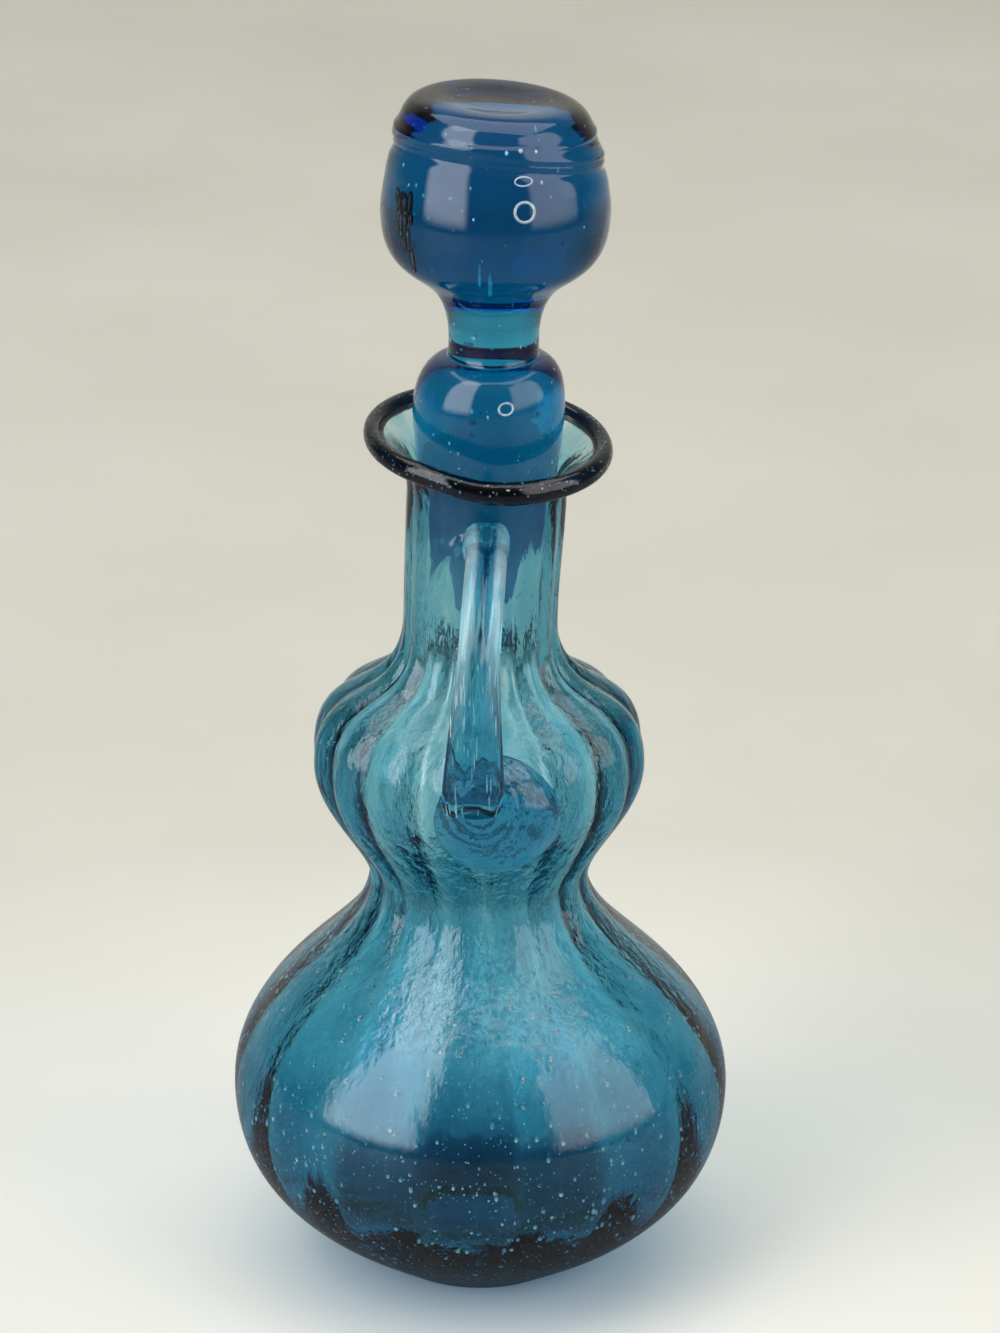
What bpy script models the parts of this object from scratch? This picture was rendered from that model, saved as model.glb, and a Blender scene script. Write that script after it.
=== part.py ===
"""Hand-blown ribbed glass bottle with a rolled lip, a strap handle and a solid glass stopper.

Metres, +Z up. The origin is the middle of the foot, on the surface that the bottle stands on.
The handle faces -Y. Azimuths start at the handle and grow towards +X.
"""
import math

import bmesh
import bpy
from mathutils import Vector

MM = 0.001

# Clearance between pieces that touch
GAP = 0.3 * MM

# Foot, with a shallow hollow under it and the round scar of the blowing rod
FOOT_R = 24.0 * MM
FOOT_RING_W = 8.0 * MM
PUNT_H = 3.0 * MM
PUNT_FULL = (0.4, 0.4)
SCAR_R = 6.5 * MM
SCAR_H = 0.8 * MM
SCAR_EDGE_W = 0.8 * MM

# Vessel, over the crests of its ribs: radii, and the height of each stretch
LOWER_BULB_R = 59.4 * MM
WAIST_R = 26.0 * MM
UPPER_BULB_R = 39.1 * MM
NECK_FOOT_R = 18.0 * MM
NECK_TOP_R = 18.6 * MM
RIM_R = 25.0 * MM
HEEL_H = 45.0 * MM
LOWER_SHOULDER_H = 55.0 * MM
UPPER_BELLY_H = 30.0 * MM
UPPER_SHOULDER_H = 35.0 * MM
NECK_H = 30.0 * MM
FLARE_H = 12.5 * MM
HEEL_ANGLE = math.radians(35.0)
FLARE_ANGLE = math.radians(42.0)

# Fullness of each curve: how far it keeps its direction at its lower and upper end, by its height
HEEL_FULL = (0.44, 0.545)
LOWER_SHOULDER_FULL = (0.50, 0.32)
UPPER_BELLY_FULL = (0.245, 0.43)
UPPER_SHOULDER_FULL = (0.64, 0.66)
NECK_FULL = (0.33, 0.33)
FLARE_FULL = (0.62, 0.30)

# Glass thickness
FLOOR_T = 5.5 * MM
HEEL_T = 4.2 * MM
LOWER_WALL_T = 3.0 * MM
UPPER_WALL_T = 3.2 * MM
RIM_T = 2.2 * MM
BORE_R = 15.4 * MM
FLOOR_FULL = (0.6, 0.25)
RIM_ROUND = 0.4

# Ribs from the dip mould: their number, the depth of their grooves and how far they turn
RIBS = 16
LOWER_RIB = 1.2 * MM
WAIST_RIB = 0.9 * MM
UPPER_RIB = 2.0 * MM
NECK_RIB = 0.5 * MM
BELLY_RIB_SHARE = 0.35
INNER_RIB_SHARE = 0.45
LOWER_TURN = math.radians(9.0)
UPPER_TURN = math.radians(2.0)

# Rolled lip: a trail of dark glass laid round the rim, which dips towards the handle
LIP_W = 3.4 * MM
LIP_H = 5.0 * MM
LIP_RISE_BACK = 0.095
LIP_RISE_RIGHT = -0.068

# Round gob of glass on the upper bulb, which the handle stands on
GOB_R = 14.4 * MM
GOB_T = 5.5 * MM
GOB_EDGE_T = 1.0 * MM
GOB_AZ = math.radians(7.0)
GOB_DROP = 0.5 * MM

# Handle: a strap drawn from the neck, out and down to the gob
STRAP_REACH = 50.0 * MM
STRAP_TOP_DROP = 6.0 * MM
STRAP_FOOT_RISE = 6.0 * MM
STRAP_TOP_X = 0.8 * MM
STRAP_FOOT_X = -1.2 * MM
STRAP_TOP_W = 9.4 * MM
STRAP_TOP_T = 5.0 * MM
STRAP_FOOT_W = 14.6 * MM
STRAP_FOOT_T = 6.6 * MM
STRAP_GROOVE = 0.34
STRAP_GROOVE_W = 0.32
STRAP_SQUARE = (0.85, 0.75)
STRAP_WIDEN_FROM = 0.4
STRAP_TOP_FULL = 0.45
STRAP_TOP_LIFT = 3.0 * MM
STRAP_SHOULDER_DROP = 1.0 * MM
STRAP_BEND_RISE = 6.0 * MM
STRAP_TURN_H = 10.0 * MM
STRAP_TURN_PULL = 2.0 * MM
STRAP_FOOT_PULL = 3.5 * MM
SEAL_W = 17.0 * MM
SEAL_H = 15.0 * MM
SEAL_X = -2.6 * MM
SEAL_FADE = 7.0 * MM
FOOT_SPREAD = 0.85

# Stopper: a tapered plug, a domed collar, a short stem and a globe with a dished top
PLUG_H = 32.0 * MM
PLUG_TIP_R = 8.0 * MM
PLUG_PULL = 11.9 * MM
PLUG_SLOPE = 0.2
COLLAR_R = 17.4 * MM
COLLAR_H = 20.5 * MM
COLLAR_FULL = 0.2
DOME_H = 12.8 * MM
DOME_FULL = 0.55
DOME_TOP_WAY = Vector((0.34, -0.15))
STEM_R = 10.3 * MM
STEM_H = 3.5 * MM
STEM_RING = 0.35 * MM
STEM_RING_H = 1.0 * MM
GLOBE_R = 25.9 * MM
GLOBE_UNDER_H = 31.0 * MM
GLOBE_OVER_H = 20.0 * MM
GLOBE_UNDER_FULL = (0.66, 0.64)
GLOBE_OVER_FULL = 0.24
CROWN_R = 21.8 * MM
CROWN_H = 5.2 * MM
CROWN_WAY = Vector((-0.3, 1.0))
CROWN_FULL = 0.6
RIDGE_R = 15.6 * MM
DISH_DEPTH = 1.8 * MM
DISH_FULL = (0.35, 0.6)
TOP_RISE_LEFT = 0.058
WRAP_H = 1.1 * MM
WRAP_SPREAD = 2.6 * MM
WRAP_START_Z = 9.0 * MM
WRAP_START_AZ = math.radians(225.0)
WRAP_CLIMB = 11.0 * MM
WRAP_END = 0.12

# Sideways wander of the hand-worked axis: of the upper bulb and neck, and of the stopper's globe
NECK_WANDER = -1.3 * MM
GLOBE_WANDER = 1.0 * MM

# Fineness of the surfaces
OUTER_STEPS = (6, 7, 5, 7, 1, 4)
INNER_STEPS = (4, 5, 4, 5, 1, 3)
OUTER_SIDES = RIBS * 6
INNER_SIDES = RIBS * 3
LIP_SIDES = 56
LIP_SECTION_SIDES = 9
STOPPER_SIDES = 40
GOB_SIDES = 36
GOB_BACK_RINGS = (0.18, 0.36, 0.54, 0.7, 0.85, 1.0)
GOB_FACE_RINGS = (1.0, 0.97, 0.88, 0.7, 0.4)
STRAP_SIDES = 16
STRAP_STEPS = (16, 6, 6)
STRAP_SEAT_SHARES = (0.35, 0.7, 1.0)
SHARP_ANGLE = math.radians(40.0)

LOWER_BULB_Z = HEEL_H
WAIST_Z = LOWER_BULB_Z + LOWER_SHOULDER_H
UPPER_BULB_Z = WAIST_Z + UPPER_BELLY_H
NECK_FOOT_Z = UPPER_BULB_Z + UPPER_SHOULDER_H
THROAT_Z = NECK_FOOT_Z + NECK_H
RIM_Z = THROAT_Z + FLARE_H
GOB_Z = UPPER_BULB_Z - GOB_DROP
DOME_Z = THROAT_Z + COLLAR_H
STEM_Z = DOME_Z + DOME_H

UP = Vector((0.0, 1.0))
OUT = Vector((1.0, 0.0))

COLOURS = {
    "vessel": (0.010, 0.160, 0.230),
    "lip_wrap": (0.004, 0.020, 0.045),
    "handle_gob": (0.008, 0.190, 0.330),
    "handle_strap": (0.030, 0.230, 0.300),
    "stopper": (0.006, 0.085, 0.210),
}


def clear_scene():
    """Remove every object that the file already holds."""
    for item in list(bpy.data.objects):
        bpy.data.objects.remove(item, do_unlink=True)


def glass(name):
    """One clear glass for one piece, in its own colour."""
    material = bpy.data.materials.new(name + "_glass")
    material.use_nodes = True
    shader = material.node_tree.nodes["Principled BSDF"]
    shader.inputs["Base Color"].default_value = (*COLOURS[name], 1.0)
    shader.inputs["Metallic"].default_value = 0.0
    shader.inputs["Roughness"].default_value = 0.04
    shader.inputs["IOR"].default_value = 1.5
    shader.inputs["Transmission Weight"].default_value = 0.9
    return material


def ease(t):
    """Rise smoothly from 0 to 1, and stay there outside that span."""
    t = min(max(t, 0.0), 1.0)
    return t * t * (3.0 - 2.0 * t)


def blend(z, stops):
    """The value at one height, eased between (height, value) stops."""
    for (low, before), (high, after) in zip(stops, stops[1:]):
        if z <= high:
            return before + (after - before) * ease((z - low) / (high - low))
    return stops[-1][1]


def cubic(start, start_pull, end_pull, end, steps):
    """Points along one cubic curve, from its start to just before its end."""
    points = []
    for i in range(steps):
        t = i / steps
        s = 1.0 - t
        near = s ** 3 * start + 3 * s * s * t * start_pull
        far = 3 * s * t * t * end_pull + t ** 3 * end
        points.append(near + far)
    return points


def at(azimuth, radius, z):
    """A point at one azimuth, radius and height."""
    return Vector((radius * math.sin(azimuth), -radius * math.cos(azimuth), z))


def rib_depth(z):
    """How deep the grooves between the ribs are at one height."""
    return blend(z, [
        (0.0, 0.0),
        (LOWER_BULB_Z, LOWER_RIB * BELLY_RIB_SHARE),
        ((LOWER_BULB_Z + WAIST_Z) / 2, LOWER_RIB),
        (WAIST_Z, WAIST_RIB),
        (UPPER_BULB_Z, UPPER_RIB),
        ((UPPER_BULB_Z + NECK_FOOT_Z) / 2, UPPER_RIB),
        (NECK_FOOT_Z, NECK_RIB),
        (THROAT_Z, NECK_RIB),
        (RIM_Z, 0.0),
    ])


def rib_turn(z):
    """The azimuth of a groove at one height: the ribs turn a little where the waist was drawn in."""
    return blend(z, [(LOWER_BULB_Z, LOWER_TURN), (UPPER_BULB_Z, UPPER_TURN)])


def groove(angle):
    """1 in the bottom of a groove and 0 on the crest of a rib, for an angle from a groove."""
    return 1.0 - abs(math.sin(RIBS * angle / 2))


def wall(z):
    """Thickness of the glass at one height."""
    return blend(z, [
        (0.0, HEEL_T),
        (LOWER_BULB_Z, LOWER_WALL_T),
        (WAIST_Z, LOWER_WALL_T),
        (UPPER_BULB_Z, UPPER_WALL_T),
        (NECK_FOOT_Z, NECK_FOOT_R - BORE_R),
        (THROAT_Z, NECK_TOP_R - BORE_R),
        (RIM_Z, RIM_T),
    ])


def crest_outline(steps):
    """(radius, height) of the rib crests, from the foot's outer edge up to the rim.

    Each stretch has its own number of steps.
    """
    foot = Vector((FOOT_R, 0.0))
    lower = Vector((LOWER_BULB_R, LOWER_BULB_Z))
    waist = Vector((WAIST_R, WAIST_Z))
    upper = Vector((UPPER_BULB_R, UPPER_BULB_Z))
    neck = Vector((NECK_FOOT_R, NECK_FOOT_Z))
    throat = Vector((NECK_TOP_R, THROAT_Z))
    rim = Vector((RIM_R, RIM_Z))
    heel_way = Vector((math.cos(HEEL_ANGLE), math.sin(HEEL_ANGLE)))
    flare_way = Vector((math.cos(FLARE_ANGLE), math.sin(FLARE_ANGLE)))
    stretches = [
        (foot, heel_way, HEEL_FULL, UP, lower),
        (lower, UP, LOWER_SHOULDER_FULL, UP, waist),
        (waist, UP, UPPER_BELLY_FULL, UP, upper),
        (upper, UP, UPPER_SHOULDER_FULL, UP, neck),
        (neck, UP, NECK_FULL, UP, throat),
        (throat, UP, FLARE_FULL, flare_way, rim),
    ]
    points = []
    for (start, start_way, full, end_way, end), count in zip(stretches, steps):
        height = end.y - start.y
        start_pull = start + start_way * full[0] * height
        end_pull = end - end_way * full[1] * height
        points += cubic(start, start_pull, end_pull, end, count)
    return points + [rim]


CREST = crest_outline(OUTER_STEPS)


def crest_radius(z):
    """Radius over the rib crests at one height."""
    for low, high in zip(CREST, CREST[1:]):
        if z <= high.y:
            return low.x + (high.x - low.x) * (z - low.y) / (high.y - low.y)
    return RIM_R


def vessel_radius(azimuth, z):
    """Radius of the vessel's outside, grooves included."""
    return crest_radius(z) - rib_depth(z) * groove(azimuth - rib_turn(z))


def seat_gap(z):
    """The gap over the vessel along a radius, so that it is the full clearance where the side slopes."""
    slope = (crest_radius(z + MM) - crest_radius(z - MM)) / (2 * MM)
    return GAP * math.hypot(1.0, slope)


def seat_radius(azimuth, z):
    """Radius of a piece that lies on the vessel's outside."""
    return vessel_radius(azimuth, z) + seat_gap(z)


def wandered(point, base_z):
    """The point, moved sideways as far as the blown axis wanders at its height over the table."""
    shift = blend(point.z + base_z, [
        (LOWER_BULB_Z, 0.0),
        (UPPER_BULB_Z, NECK_WANDER),
        (NECK_FOOT_Z, NECK_WANDER),
        (RIM_Z, 0.0),
        (DOME_Z, 0.0),
        (STEM_Z + STEM_H, GLOBE_WANDER),
    ])
    return Vector((point.x + shift, point.y, point.z))


def tip_rim(point):
    """Tip the mouth: the rim dips towards the handle, and nothing below the throat moves."""
    share = ease((point.z - THROAT_Z) / (RIM_Z - THROAT_Z))
    point.z += share * (LIP_RISE_RIGHT * point.x + LIP_RISE_BACK * point.y)
    return point


def skin(name, rings, start=None, end=None, base_z=0.0):
    """A closed mesh through rings of points, closed by a point at each end or by joining the ends.

    A ring may have half as many points as the one before it. Heights count from base_z.
    """
    mesh = bmesh.new()
    loops = []
    for ring in rings:
        loops.append([mesh.verts.new(wandered(point, base_z)) for point in ring])
    pairs = list(zip(loops, loops[1:]))
    if start is None:
        pairs.append((loops[-1], loops[0]))
    for low, high in pairs:
        step = len(low) // len(high)
        for j in range(len(high)):
            after = (j + 1) % len(high)
            fan = [low[(j * step + k) % len(low)] for k in range(step + 1)]
            if step == 1:
                mesh.faces.new((fan[0], fan[1], high[after], high[j]))
            else:
                mesh.faces.new((fan[0], fan[1], high[j]))
                mesh.faces.new((fan[1], high[after], high[j]))
                mesh.faces.new((fan[1], fan[2], high[after]))
    tips = [] if start is None else [(start, loops[0]), (end, loops[-1])]
    for tip, loop in tips:
        middle = mesh.verts.new(wandered(tip, base_z))
        for j in range(len(loop)):
            mesh.faces.new((middle, loop[j], loop[(j + 1) % len(loop)]))
    bmesh.ops.recalc_face_normals(mesh, faces=mesh.faces)
    bmesh.ops.triangulate(mesh, faces=[face for face in mesh.faces if len(face.verts) > 3])
    data = bpy.data.meshes.new(name)
    mesh.to_mesh(data)
    mesh.free()
    data.shade_smooth()
    data.set_sharp_from_angle(angle=SHARP_ANGLE)
    data.materials.append(glass(name))
    piece = bpy.data.objects.new(name, data)
    bpy.context.scene.collection.objects.link(piece)
    return piece


def ribbed_ring(radius, z, depth, sides):
    """One ring of the vessel, with its points in step with the ribs."""
    ring = []
    for j in range(sides):
        angle = math.tau * j / sides
        point = at(angle + rib_turn(z), radius - depth * groove(angle), z)
        ring.append(tip_rim(point))
    return ring


def foot_rings():
    """Under side: the scar, the hollow and the inner edge of the flat ring that it stands on."""
    scar_edge = Vector((SCAR_R + SCAR_EDGE_W, PUNT_H))
    rest = Vector((FOOT_R - FOOT_RING_W, 0.0))
    span = rest.x - scar_edge.x
    start_pull = scar_edge + OUT * span * PUNT_FULL[0]
    end_pull = rest - OUT * span * PUNT_FULL[1]
    hollow = cubic(scar_edge, start_pull, end_pull, rest, 3)
    outline = [Vector((SCAR_R, PUNT_H - SCAR_H))] + hollow + [rest]
    return [ribbed_ring(point.x, point.y, 0.0, OUTER_SIDES) for point in outline]


def inner_outline():
    """(radius, height) of the inside over its rib crests, from the rim down to the floor."""
    crest = crest_outline(INNER_STEPS)
    inside = []
    for before, here, after in zip(crest, crest[1:], crest[2:] + [crest[-1]]):
        if here.y < HEEL_H / 3:
            continue
        way = (after - before).normalized()
        inside.append(Vector((here.x - way.y * wall(here.y), here.y + way.x * wall(here.y))))
    heel, above = inside[0], inside[1]
    slope = (above - heel).normalized()
    middle = Vector((0.0, PUNT_H + FLOOR_T))
    start_pull = middle + OUT * heel.x * FLOOR_FULL[0]
    end_pull = heel - slope * heel.x * FLOOR_FULL[1]
    floor = cubic(middle, start_pull, end_pull, heel, 4)
    return list(reversed(floor[1:] + inside))


def make_vessel():
    """The blown bottle: two ribbed bulbs, a neck and a flared mouth, hollow and open at the top."""
    rings = foot_rings()
    for point in crest_outline(OUTER_STEPS):
        rings.append(ribbed_ring(point.x, point.y, rib_depth(point.y), OUTER_SIDES))
    inside = inner_outline()
    crown = Vector((RIM_R, RIM_Z)).lerp(inside[0], 0.5) + UP * RIM_ROUND * RIM_T
    rings.append(ribbed_ring(crown.x, crown.y, 0.0, OUTER_SIDES))
    for point in inside:
        share = INNER_RIB_SHARE * (1.0 - ease((point.y - UPPER_BULB_Z) / UPPER_SHOULDER_H))
        rings.append(ribbed_ring(point.x, point.y, rib_depth(point.y) * share, INNER_SIDES))
    start = Vector((0.0, 0.0, PUNT_H - SCAR_H))
    end = Vector((0.0, 0.0, PUNT_H + FLOOR_T))
    return skin("vessel", rings, start, end)


def make_lip_wrap():
    """The trail round the rim: an upright oval section swept round the tipped mouth."""
    middle_r = RIM_R + GAP + LIP_W / 2
    rings = []
    for j in range(LIP_SIDES):
        azimuth = math.tau * j / LIP_SIDES
        ring = []
        for k in range(LIP_SECTION_SIDES):
            angle = math.tau * k / LIP_SECTION_SIDES
            radius = middle_r + LIP_W / 2 * math.cos(angle)
            point = at(azimuth, radius, 0.0)
            lean = LIP_RISE_RIGHT * point.x + LIP_RISE_BACK * point.y
            point.z = RIM_Z + LIP_H / 2 * math.sin(angle) + lean
            ring.append(point)
        rings.append(ring)
    return skin("lip_wrap", rings)


def gob_thickness(distance):
    """Thickness of the gob at one distance from its middle: a flat dome with a round edge."""
    share = min(distance / GOB_R, 1.0)
    return GOB_EDGE_T + (GOB_T - GOB_EDGE_T) * math.sqrt(1.0 - share ** 3)


def gob_face_radius(azimuth, z):
    """Radius of the gob's front face."""
    distance = math.hypot((azimuth - GOB_AZ) * UPPER_BULB_R, z - GOB_Z)
    return crest_radius(z) + seat_gap(z) + gob_thickness(distance)


def gob_ring(share, radius_at):
    """One ring of the gob, at a share of its radius, on a surface that radius_at describes."""
    ring = []
    for j in range(GOB_SIDES):
        angle = math.tau * j / GOB_SIDES
        azimuth = GOB_AZ + share * GOB_R * math.cos(angle) / UPPER_BULB_R
        z = GOB_Z + share * GOB_R * math.sin(angle)
        ring.append(at(azimuth, radius_at(azimuth, z), z))
    return ring


def make_gob():
    """The round gob of glass, pressed on the ribs of the upper bulb."""
    rings = [gob_ring(share, seat_radius) for share in GOB_BACK_RINGS]
    rings += [gob_ring(share, gob_face_radius) for share in GOB_FACE_RINGS]
    back_middle = at(GOB_AZ, seat_radius(GOB_AZ, GOB_Z), GOB_Z)
    front_middle = at(GOB_AZ, gob_face_radius(GOB_AZ, GOB_Z), GOB_Z)
    return skin("handle_gob", rings, back_middle, front_middle)


def gob_seat_radius(azimuth, z):
    """Radius of a piece that lies on the gob's face."""
    return gob_face_radius(azimuth, z) + GAP


def seated(x, z, radius_at):
    """The point at x and z on the handle's side that lies on a seat."""
    radius = radius_at(0.0, z)
    for _ in range(6):
        radius = radius_at(math.asin(x / radius), z)
    return Vector((x, -math.sqrt(radius * radius - x * x), z))


def soft_corner(value, power):
    """A sine or cosine, squared off a little."""
    return math.copysign(abs(value) ** power, value)


def strap_section(width, thickness, depth):
    """(across, out) points of the strap's section, with a groove along both faces."""
    points = []
    for k in range(STRAP_SIDES):
        angle = math.tau * k / STRAP_SIDES
        across = width / 2 * soft_corner(math.cos(angle), STRAP_SQUARE[0])
        dent = 1.0 - depth * math.exp(-(math.cos(angle) / STRAP_GROOVE_W) ** 2)
        points.append((across, thickness / 2 * soft_corner(math.sin(angle), STRAP_SQUARE[1]) * dent))
    return points


def strap_route():
    """(distance from the axis, height) along the middle of the strap, from neck to gob."""
    top_z = THROAT_Z - STRAP_TOP_DROP
    foot_z = GOB_Z + STRAP_FOOT_RISE
    top = Vector((crest_radius(top_z) + GAP, top_z))
    bend = Vector((STRAP_REACH, (top_z + foot_z) / 2 + STRAP_BEND_RISE))
    turn = Vector((STRAP_REACH, foot_z + STRAP_TURN_H))
    foot = Vector((gob_seat_radius(0.0, foot_z), foot_z))
    top_pull = top + OUT * (STRAP_REACH - top.x) * STRAP_TOP_FULL + UP * STRAP_TOP_LIFT
    shoulder = Vector((STRAP_REACH, top_z - STRAP_SHOULDER_DROP))
    turn_pull = Vector((STRAP_REACH, foot_z + STRAP_TURN_PULL))
    route = cubic(top, top_pull, shoulder, bend, STRAP_STEPS[0])
    route += cubic(bend, bend.lerp(turn, 1 / 3), bend.lerp(turn, 2 / 3), turn, STRAP_STEPS[1])
    route += cubic(turn, turn_pull, foot + OUT * STRAP_FOOT_PULL, foot, STRAP_STEPS[2])
    return route + [foot]


def make_strap():
    """The handle's strap: smeared on the neck, drawn out and down, and turned in to the gob."""
    route = strap_route()
    last = len(route) - 1
    walked = [0.0]
    for before, here in zip(route, route[1:]):
        walked.append(walked[-1] + (here - before).length)
    length = walked[-1]
    rings = []
    for i, here in enumerate(route):
        way = (route[min(i + 1, last)] - route[max(i - 1, 0)]).normalized()
        along = walked[i] / length
        seal = 1.0 - ease(walked[i] / SEAL_FADE)
        foot = 1.0 - ease((length - walked[i]) / STRAP_FOOT_T)
        widened = ease((along - STRAP_WIDEN_FROM) / (1.0 - STRAP_WIDEN_FROM))
        width = STRAP_TOP_W + (STRAP_FOOT_W - STRAP_TOP_W) * widened
        thickness = STRAP_TOP_T + (STRAP_FOOT_T - STRAP_TOP_T) * along
        width += (SEAL_W - width) * seal + width * (FOOT_SPREAD - 1.0) * foot
        thickness += (SEAL_H - thickness) * seal + thickness * (FOOT_SPREAD - 1.0) * foot
        x = STRAP_TOP_X + (STRAP_FOOT_X - STRAP_TOP_X) * along
        x += (SEAL_X - x) * seal
        depth = STRAP_GROOVE * (1.0 - seal) * (1.0 - foot)
        ring = []
        for across, out in strap_section(width, thickness, depth):
            ring.append(Vector((x + across, -(here.x + out * -way.y), here.y + out * way.x)))
        rings.append(ring)
    neck_end = seat_ends(rings[0], seat_radius)
    foot_end = seat_ends(rings[-1], gob_seat_radius)
    rings = neck_end + rings[1:-1] + foot_end[::-1]
    start = middle_of(neck_end[0], seat_radius)
    end = middle_of(foot_end[0], gob_seat_radius)
    return skin("handle_strap", rings, start, end)


def seat_ends(ring, radius_at):
    """Rings over one end of the strap, from near its middle out to its edge, seated on a surface."""
    middle = sum(ring, Vector()) / len(ring)
    rings = []
    for share in STRAP_SEAT_SHARES:
        points = [middle.lerp(point, share) for point in ring]
        rings.append([seated(point.x, point.z, radius_at) for point in points])
    return rings


def middle_of(ring, radius_at):
    """The seated point in the middle of a ring."""
    middle = sum(ring, Vector()) / len(ring)
    return seated(middle.x, middle.z, radius_at)


def stopper_outline():
    """(radius, height over the seat) of the stopper, from the plug's tip to the edge of its dish."""
    seat = OUT * (BORE_R - GAP)
    tip = -UP * PLUG_H
    taper = Vector((PLUG_SLOPE, 1.0))
    collar = Vector((COLLAR_R, COLLAR_H))
    stem_foot = Vector((STEM_R, COLLAR_H + DOME_H))
    stem_top = stem_foot + UP * STEM_H
    globe = Vector((GLOBE_R, stem_top.y + GLOBE_UNDER_H))
    crown = Vector((CROWN_R, globe.y + GLOBE_OVER_H))
    ridge = Vector((RIDGE_R, crown.y + CROWN_H))
    dish = UP * (ridge.y - DISH_DEPTH)

    collar_pull = COLLAR_H * COLLAR_FULL
    over_pull = GLOBE_OVER_H * GLOBE_OVER_FULL
    dome_foot = collar + UP * DOME_H * DOME_FULL
    dome_head = stem_foot + DOME_TOP_WAY * STEM_R
    under_foot = stem_top + UP * GLOBE_UNDER_H * GLOBE_UNDER_FULL[0]
    under_head = globe - UP * GLOBE_UNDER_H * GLOBE_UNDER_FULL[1]
    crown_foot = crown + CROWN_WAY * CROWN_H * CROWN_FULL
    crown_head = ridge + OUT * CROWN_H * CROWN_FULL
    dish_edge = ridge - OUT * RIDGE_R * DISH_FULL[0]
    dish_floor = dish + OUT * RIDGE_R * DISH_FULL[1]

    points = cubic(tip, tip + OUT * PLUG_TIP_R, seat - taper * PLUG_PULL, seat, 6)[1:]
    points += cubic(seat, seat + taper * collar_pull, collar - UP * collar_pull, collar, 3)
    points += cubic(collar, dome_foot, dome_head, stem_foot, 4)
    points += [stem_foot + OUT * STEM_RING, stem_foot + UP * STEM_RING_H]
    points += cubic(stem_top, under_foot, under_head, globe, 8)
    points += cubic(globe, globe + UP * over_pull, crown - CROWN_WAY * over_pull, crown, 6)
    points += cubic(crown, crown_foot, crown_head, ridge, 3)
    points += cubic(ridge, dish_edge, dish_floor, dish, 3)
    return points, globe.y, ridge.y


def wrap_height(azimuth, z, globe_z):
    """How far the fold wound round the top of the globe stands out at one place."""
    turn = ((azimuth - WRAP_START_AZ) % math.tau) / math.tau
    fold_z = globe_z + WRAP_START_Z + WRAP_CLIMB * turn
    fade = ease(turn / WRAP_END) * ease((1.0 - turn) / WRAP_END)
    return WRAP_H * fade * math.exp(-((z - fold_z) / WRAP_SPREAD) ** 2)


def make_stopper():
    """The solid stopper, seated a gap inside the throat, with its origin there."""
    outline, globe_z, top_z = stopper_outline()
    rings = []
    for point in outline:
        ring = []
        for j in range(STOPPER_SIDES):
            azimuth = math.tau * j / STOPPER_SIDES
            place = at(azimuth, point.x + wrap_height(azimuth, point.y, globe_z), point.y)
            place.z -= TOP_RISE_LEFT * place.x * ease((place.z - globe_z) / (top_z - globe_z))
            ring.append(place)
        rings.append(ring)
    tip = Vector((0.0, 0.0, -PLUG_H))
    dish = Vector((0.0, 0.0, top_z - DISH_DEPTH))
    piece = skin("stopper", rings, tip, dish, THROAT_Z)
    piece.location = (0.0, 0.0, THROAT_Z)
    return piece


def main():
    clear_scene()
    make_vessel()
    make_lip_wrap()
    make_gob()
    make_strap()
    make_stopper()


main()
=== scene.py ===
"""Looks of the hand-blown bottle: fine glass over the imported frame, trapped air, light and camera.

Metres, +Z up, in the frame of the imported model. The handle faces -Y, where the camera is.
Azimuths start at the handle and grow towards +X.
"""
import math
import random

import bpy
import numpy as np
from mathutils import Matrix, Vector


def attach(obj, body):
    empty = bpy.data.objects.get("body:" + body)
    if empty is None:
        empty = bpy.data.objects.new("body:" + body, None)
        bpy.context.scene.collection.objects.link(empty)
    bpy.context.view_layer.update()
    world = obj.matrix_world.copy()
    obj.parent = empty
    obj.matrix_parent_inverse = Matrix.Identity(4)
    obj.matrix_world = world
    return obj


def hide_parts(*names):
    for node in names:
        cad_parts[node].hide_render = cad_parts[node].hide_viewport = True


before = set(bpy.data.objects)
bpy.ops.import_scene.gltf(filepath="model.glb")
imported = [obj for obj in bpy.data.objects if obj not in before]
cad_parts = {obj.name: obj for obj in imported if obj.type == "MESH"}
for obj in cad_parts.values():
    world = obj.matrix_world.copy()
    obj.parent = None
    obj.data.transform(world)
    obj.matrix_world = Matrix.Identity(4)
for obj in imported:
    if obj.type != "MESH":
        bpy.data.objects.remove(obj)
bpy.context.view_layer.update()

MM = 0.001

# Vessel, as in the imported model: radii over the rib crests, heights, curves and walls
FOOT_R = 24.0 * MM
FOOT_RING_W = 8.0 * MM
PUNT_H = 3.0 * MM
PUNT_FULL = (0.4, 0.4)
SCAR_R = 6.5 * MM
SCAR_H = 0.06 * MM
SCAR_EDGE_W = 2.0 * MM
LOWER_BULB_R = 59.4 * MM
WAIST_R = 26.0 * MM
UPPER_BULB_R = 39.1 * MM
NECK_FOOT_R = 18.0 * MM
NECK_TOP_R = 18.6 * MM
RIM_R = 25.0 * MM
HEEL_H = 45.0 * MM
LOWER_SHOULDER_H = 55.0 * MM
UPPER_BELLY_H = 30.0 * MM
UPPER_SHOULDER_H = 35.0 * MM
NECK_H = 30.0 * MM
FLARE_H = 12.5 * MM
HEEL_ANGLE = math.radians(35.0)
FLARE_ANGLE = math.radians(42.0)
FLOOR_T = 6.0 * MM
HEEL_T = 6.3 * MM
LOWER_WALL_T = 3.6 * MM
WAIST_WALL_T = 2.7 * MM
UPPER_WALL_T = 3.2 * MM
NECK_WALL_T = 1.9 * MM
RIM_T = 0.9 * MM
BORE_R = 15.4 * MM
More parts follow.
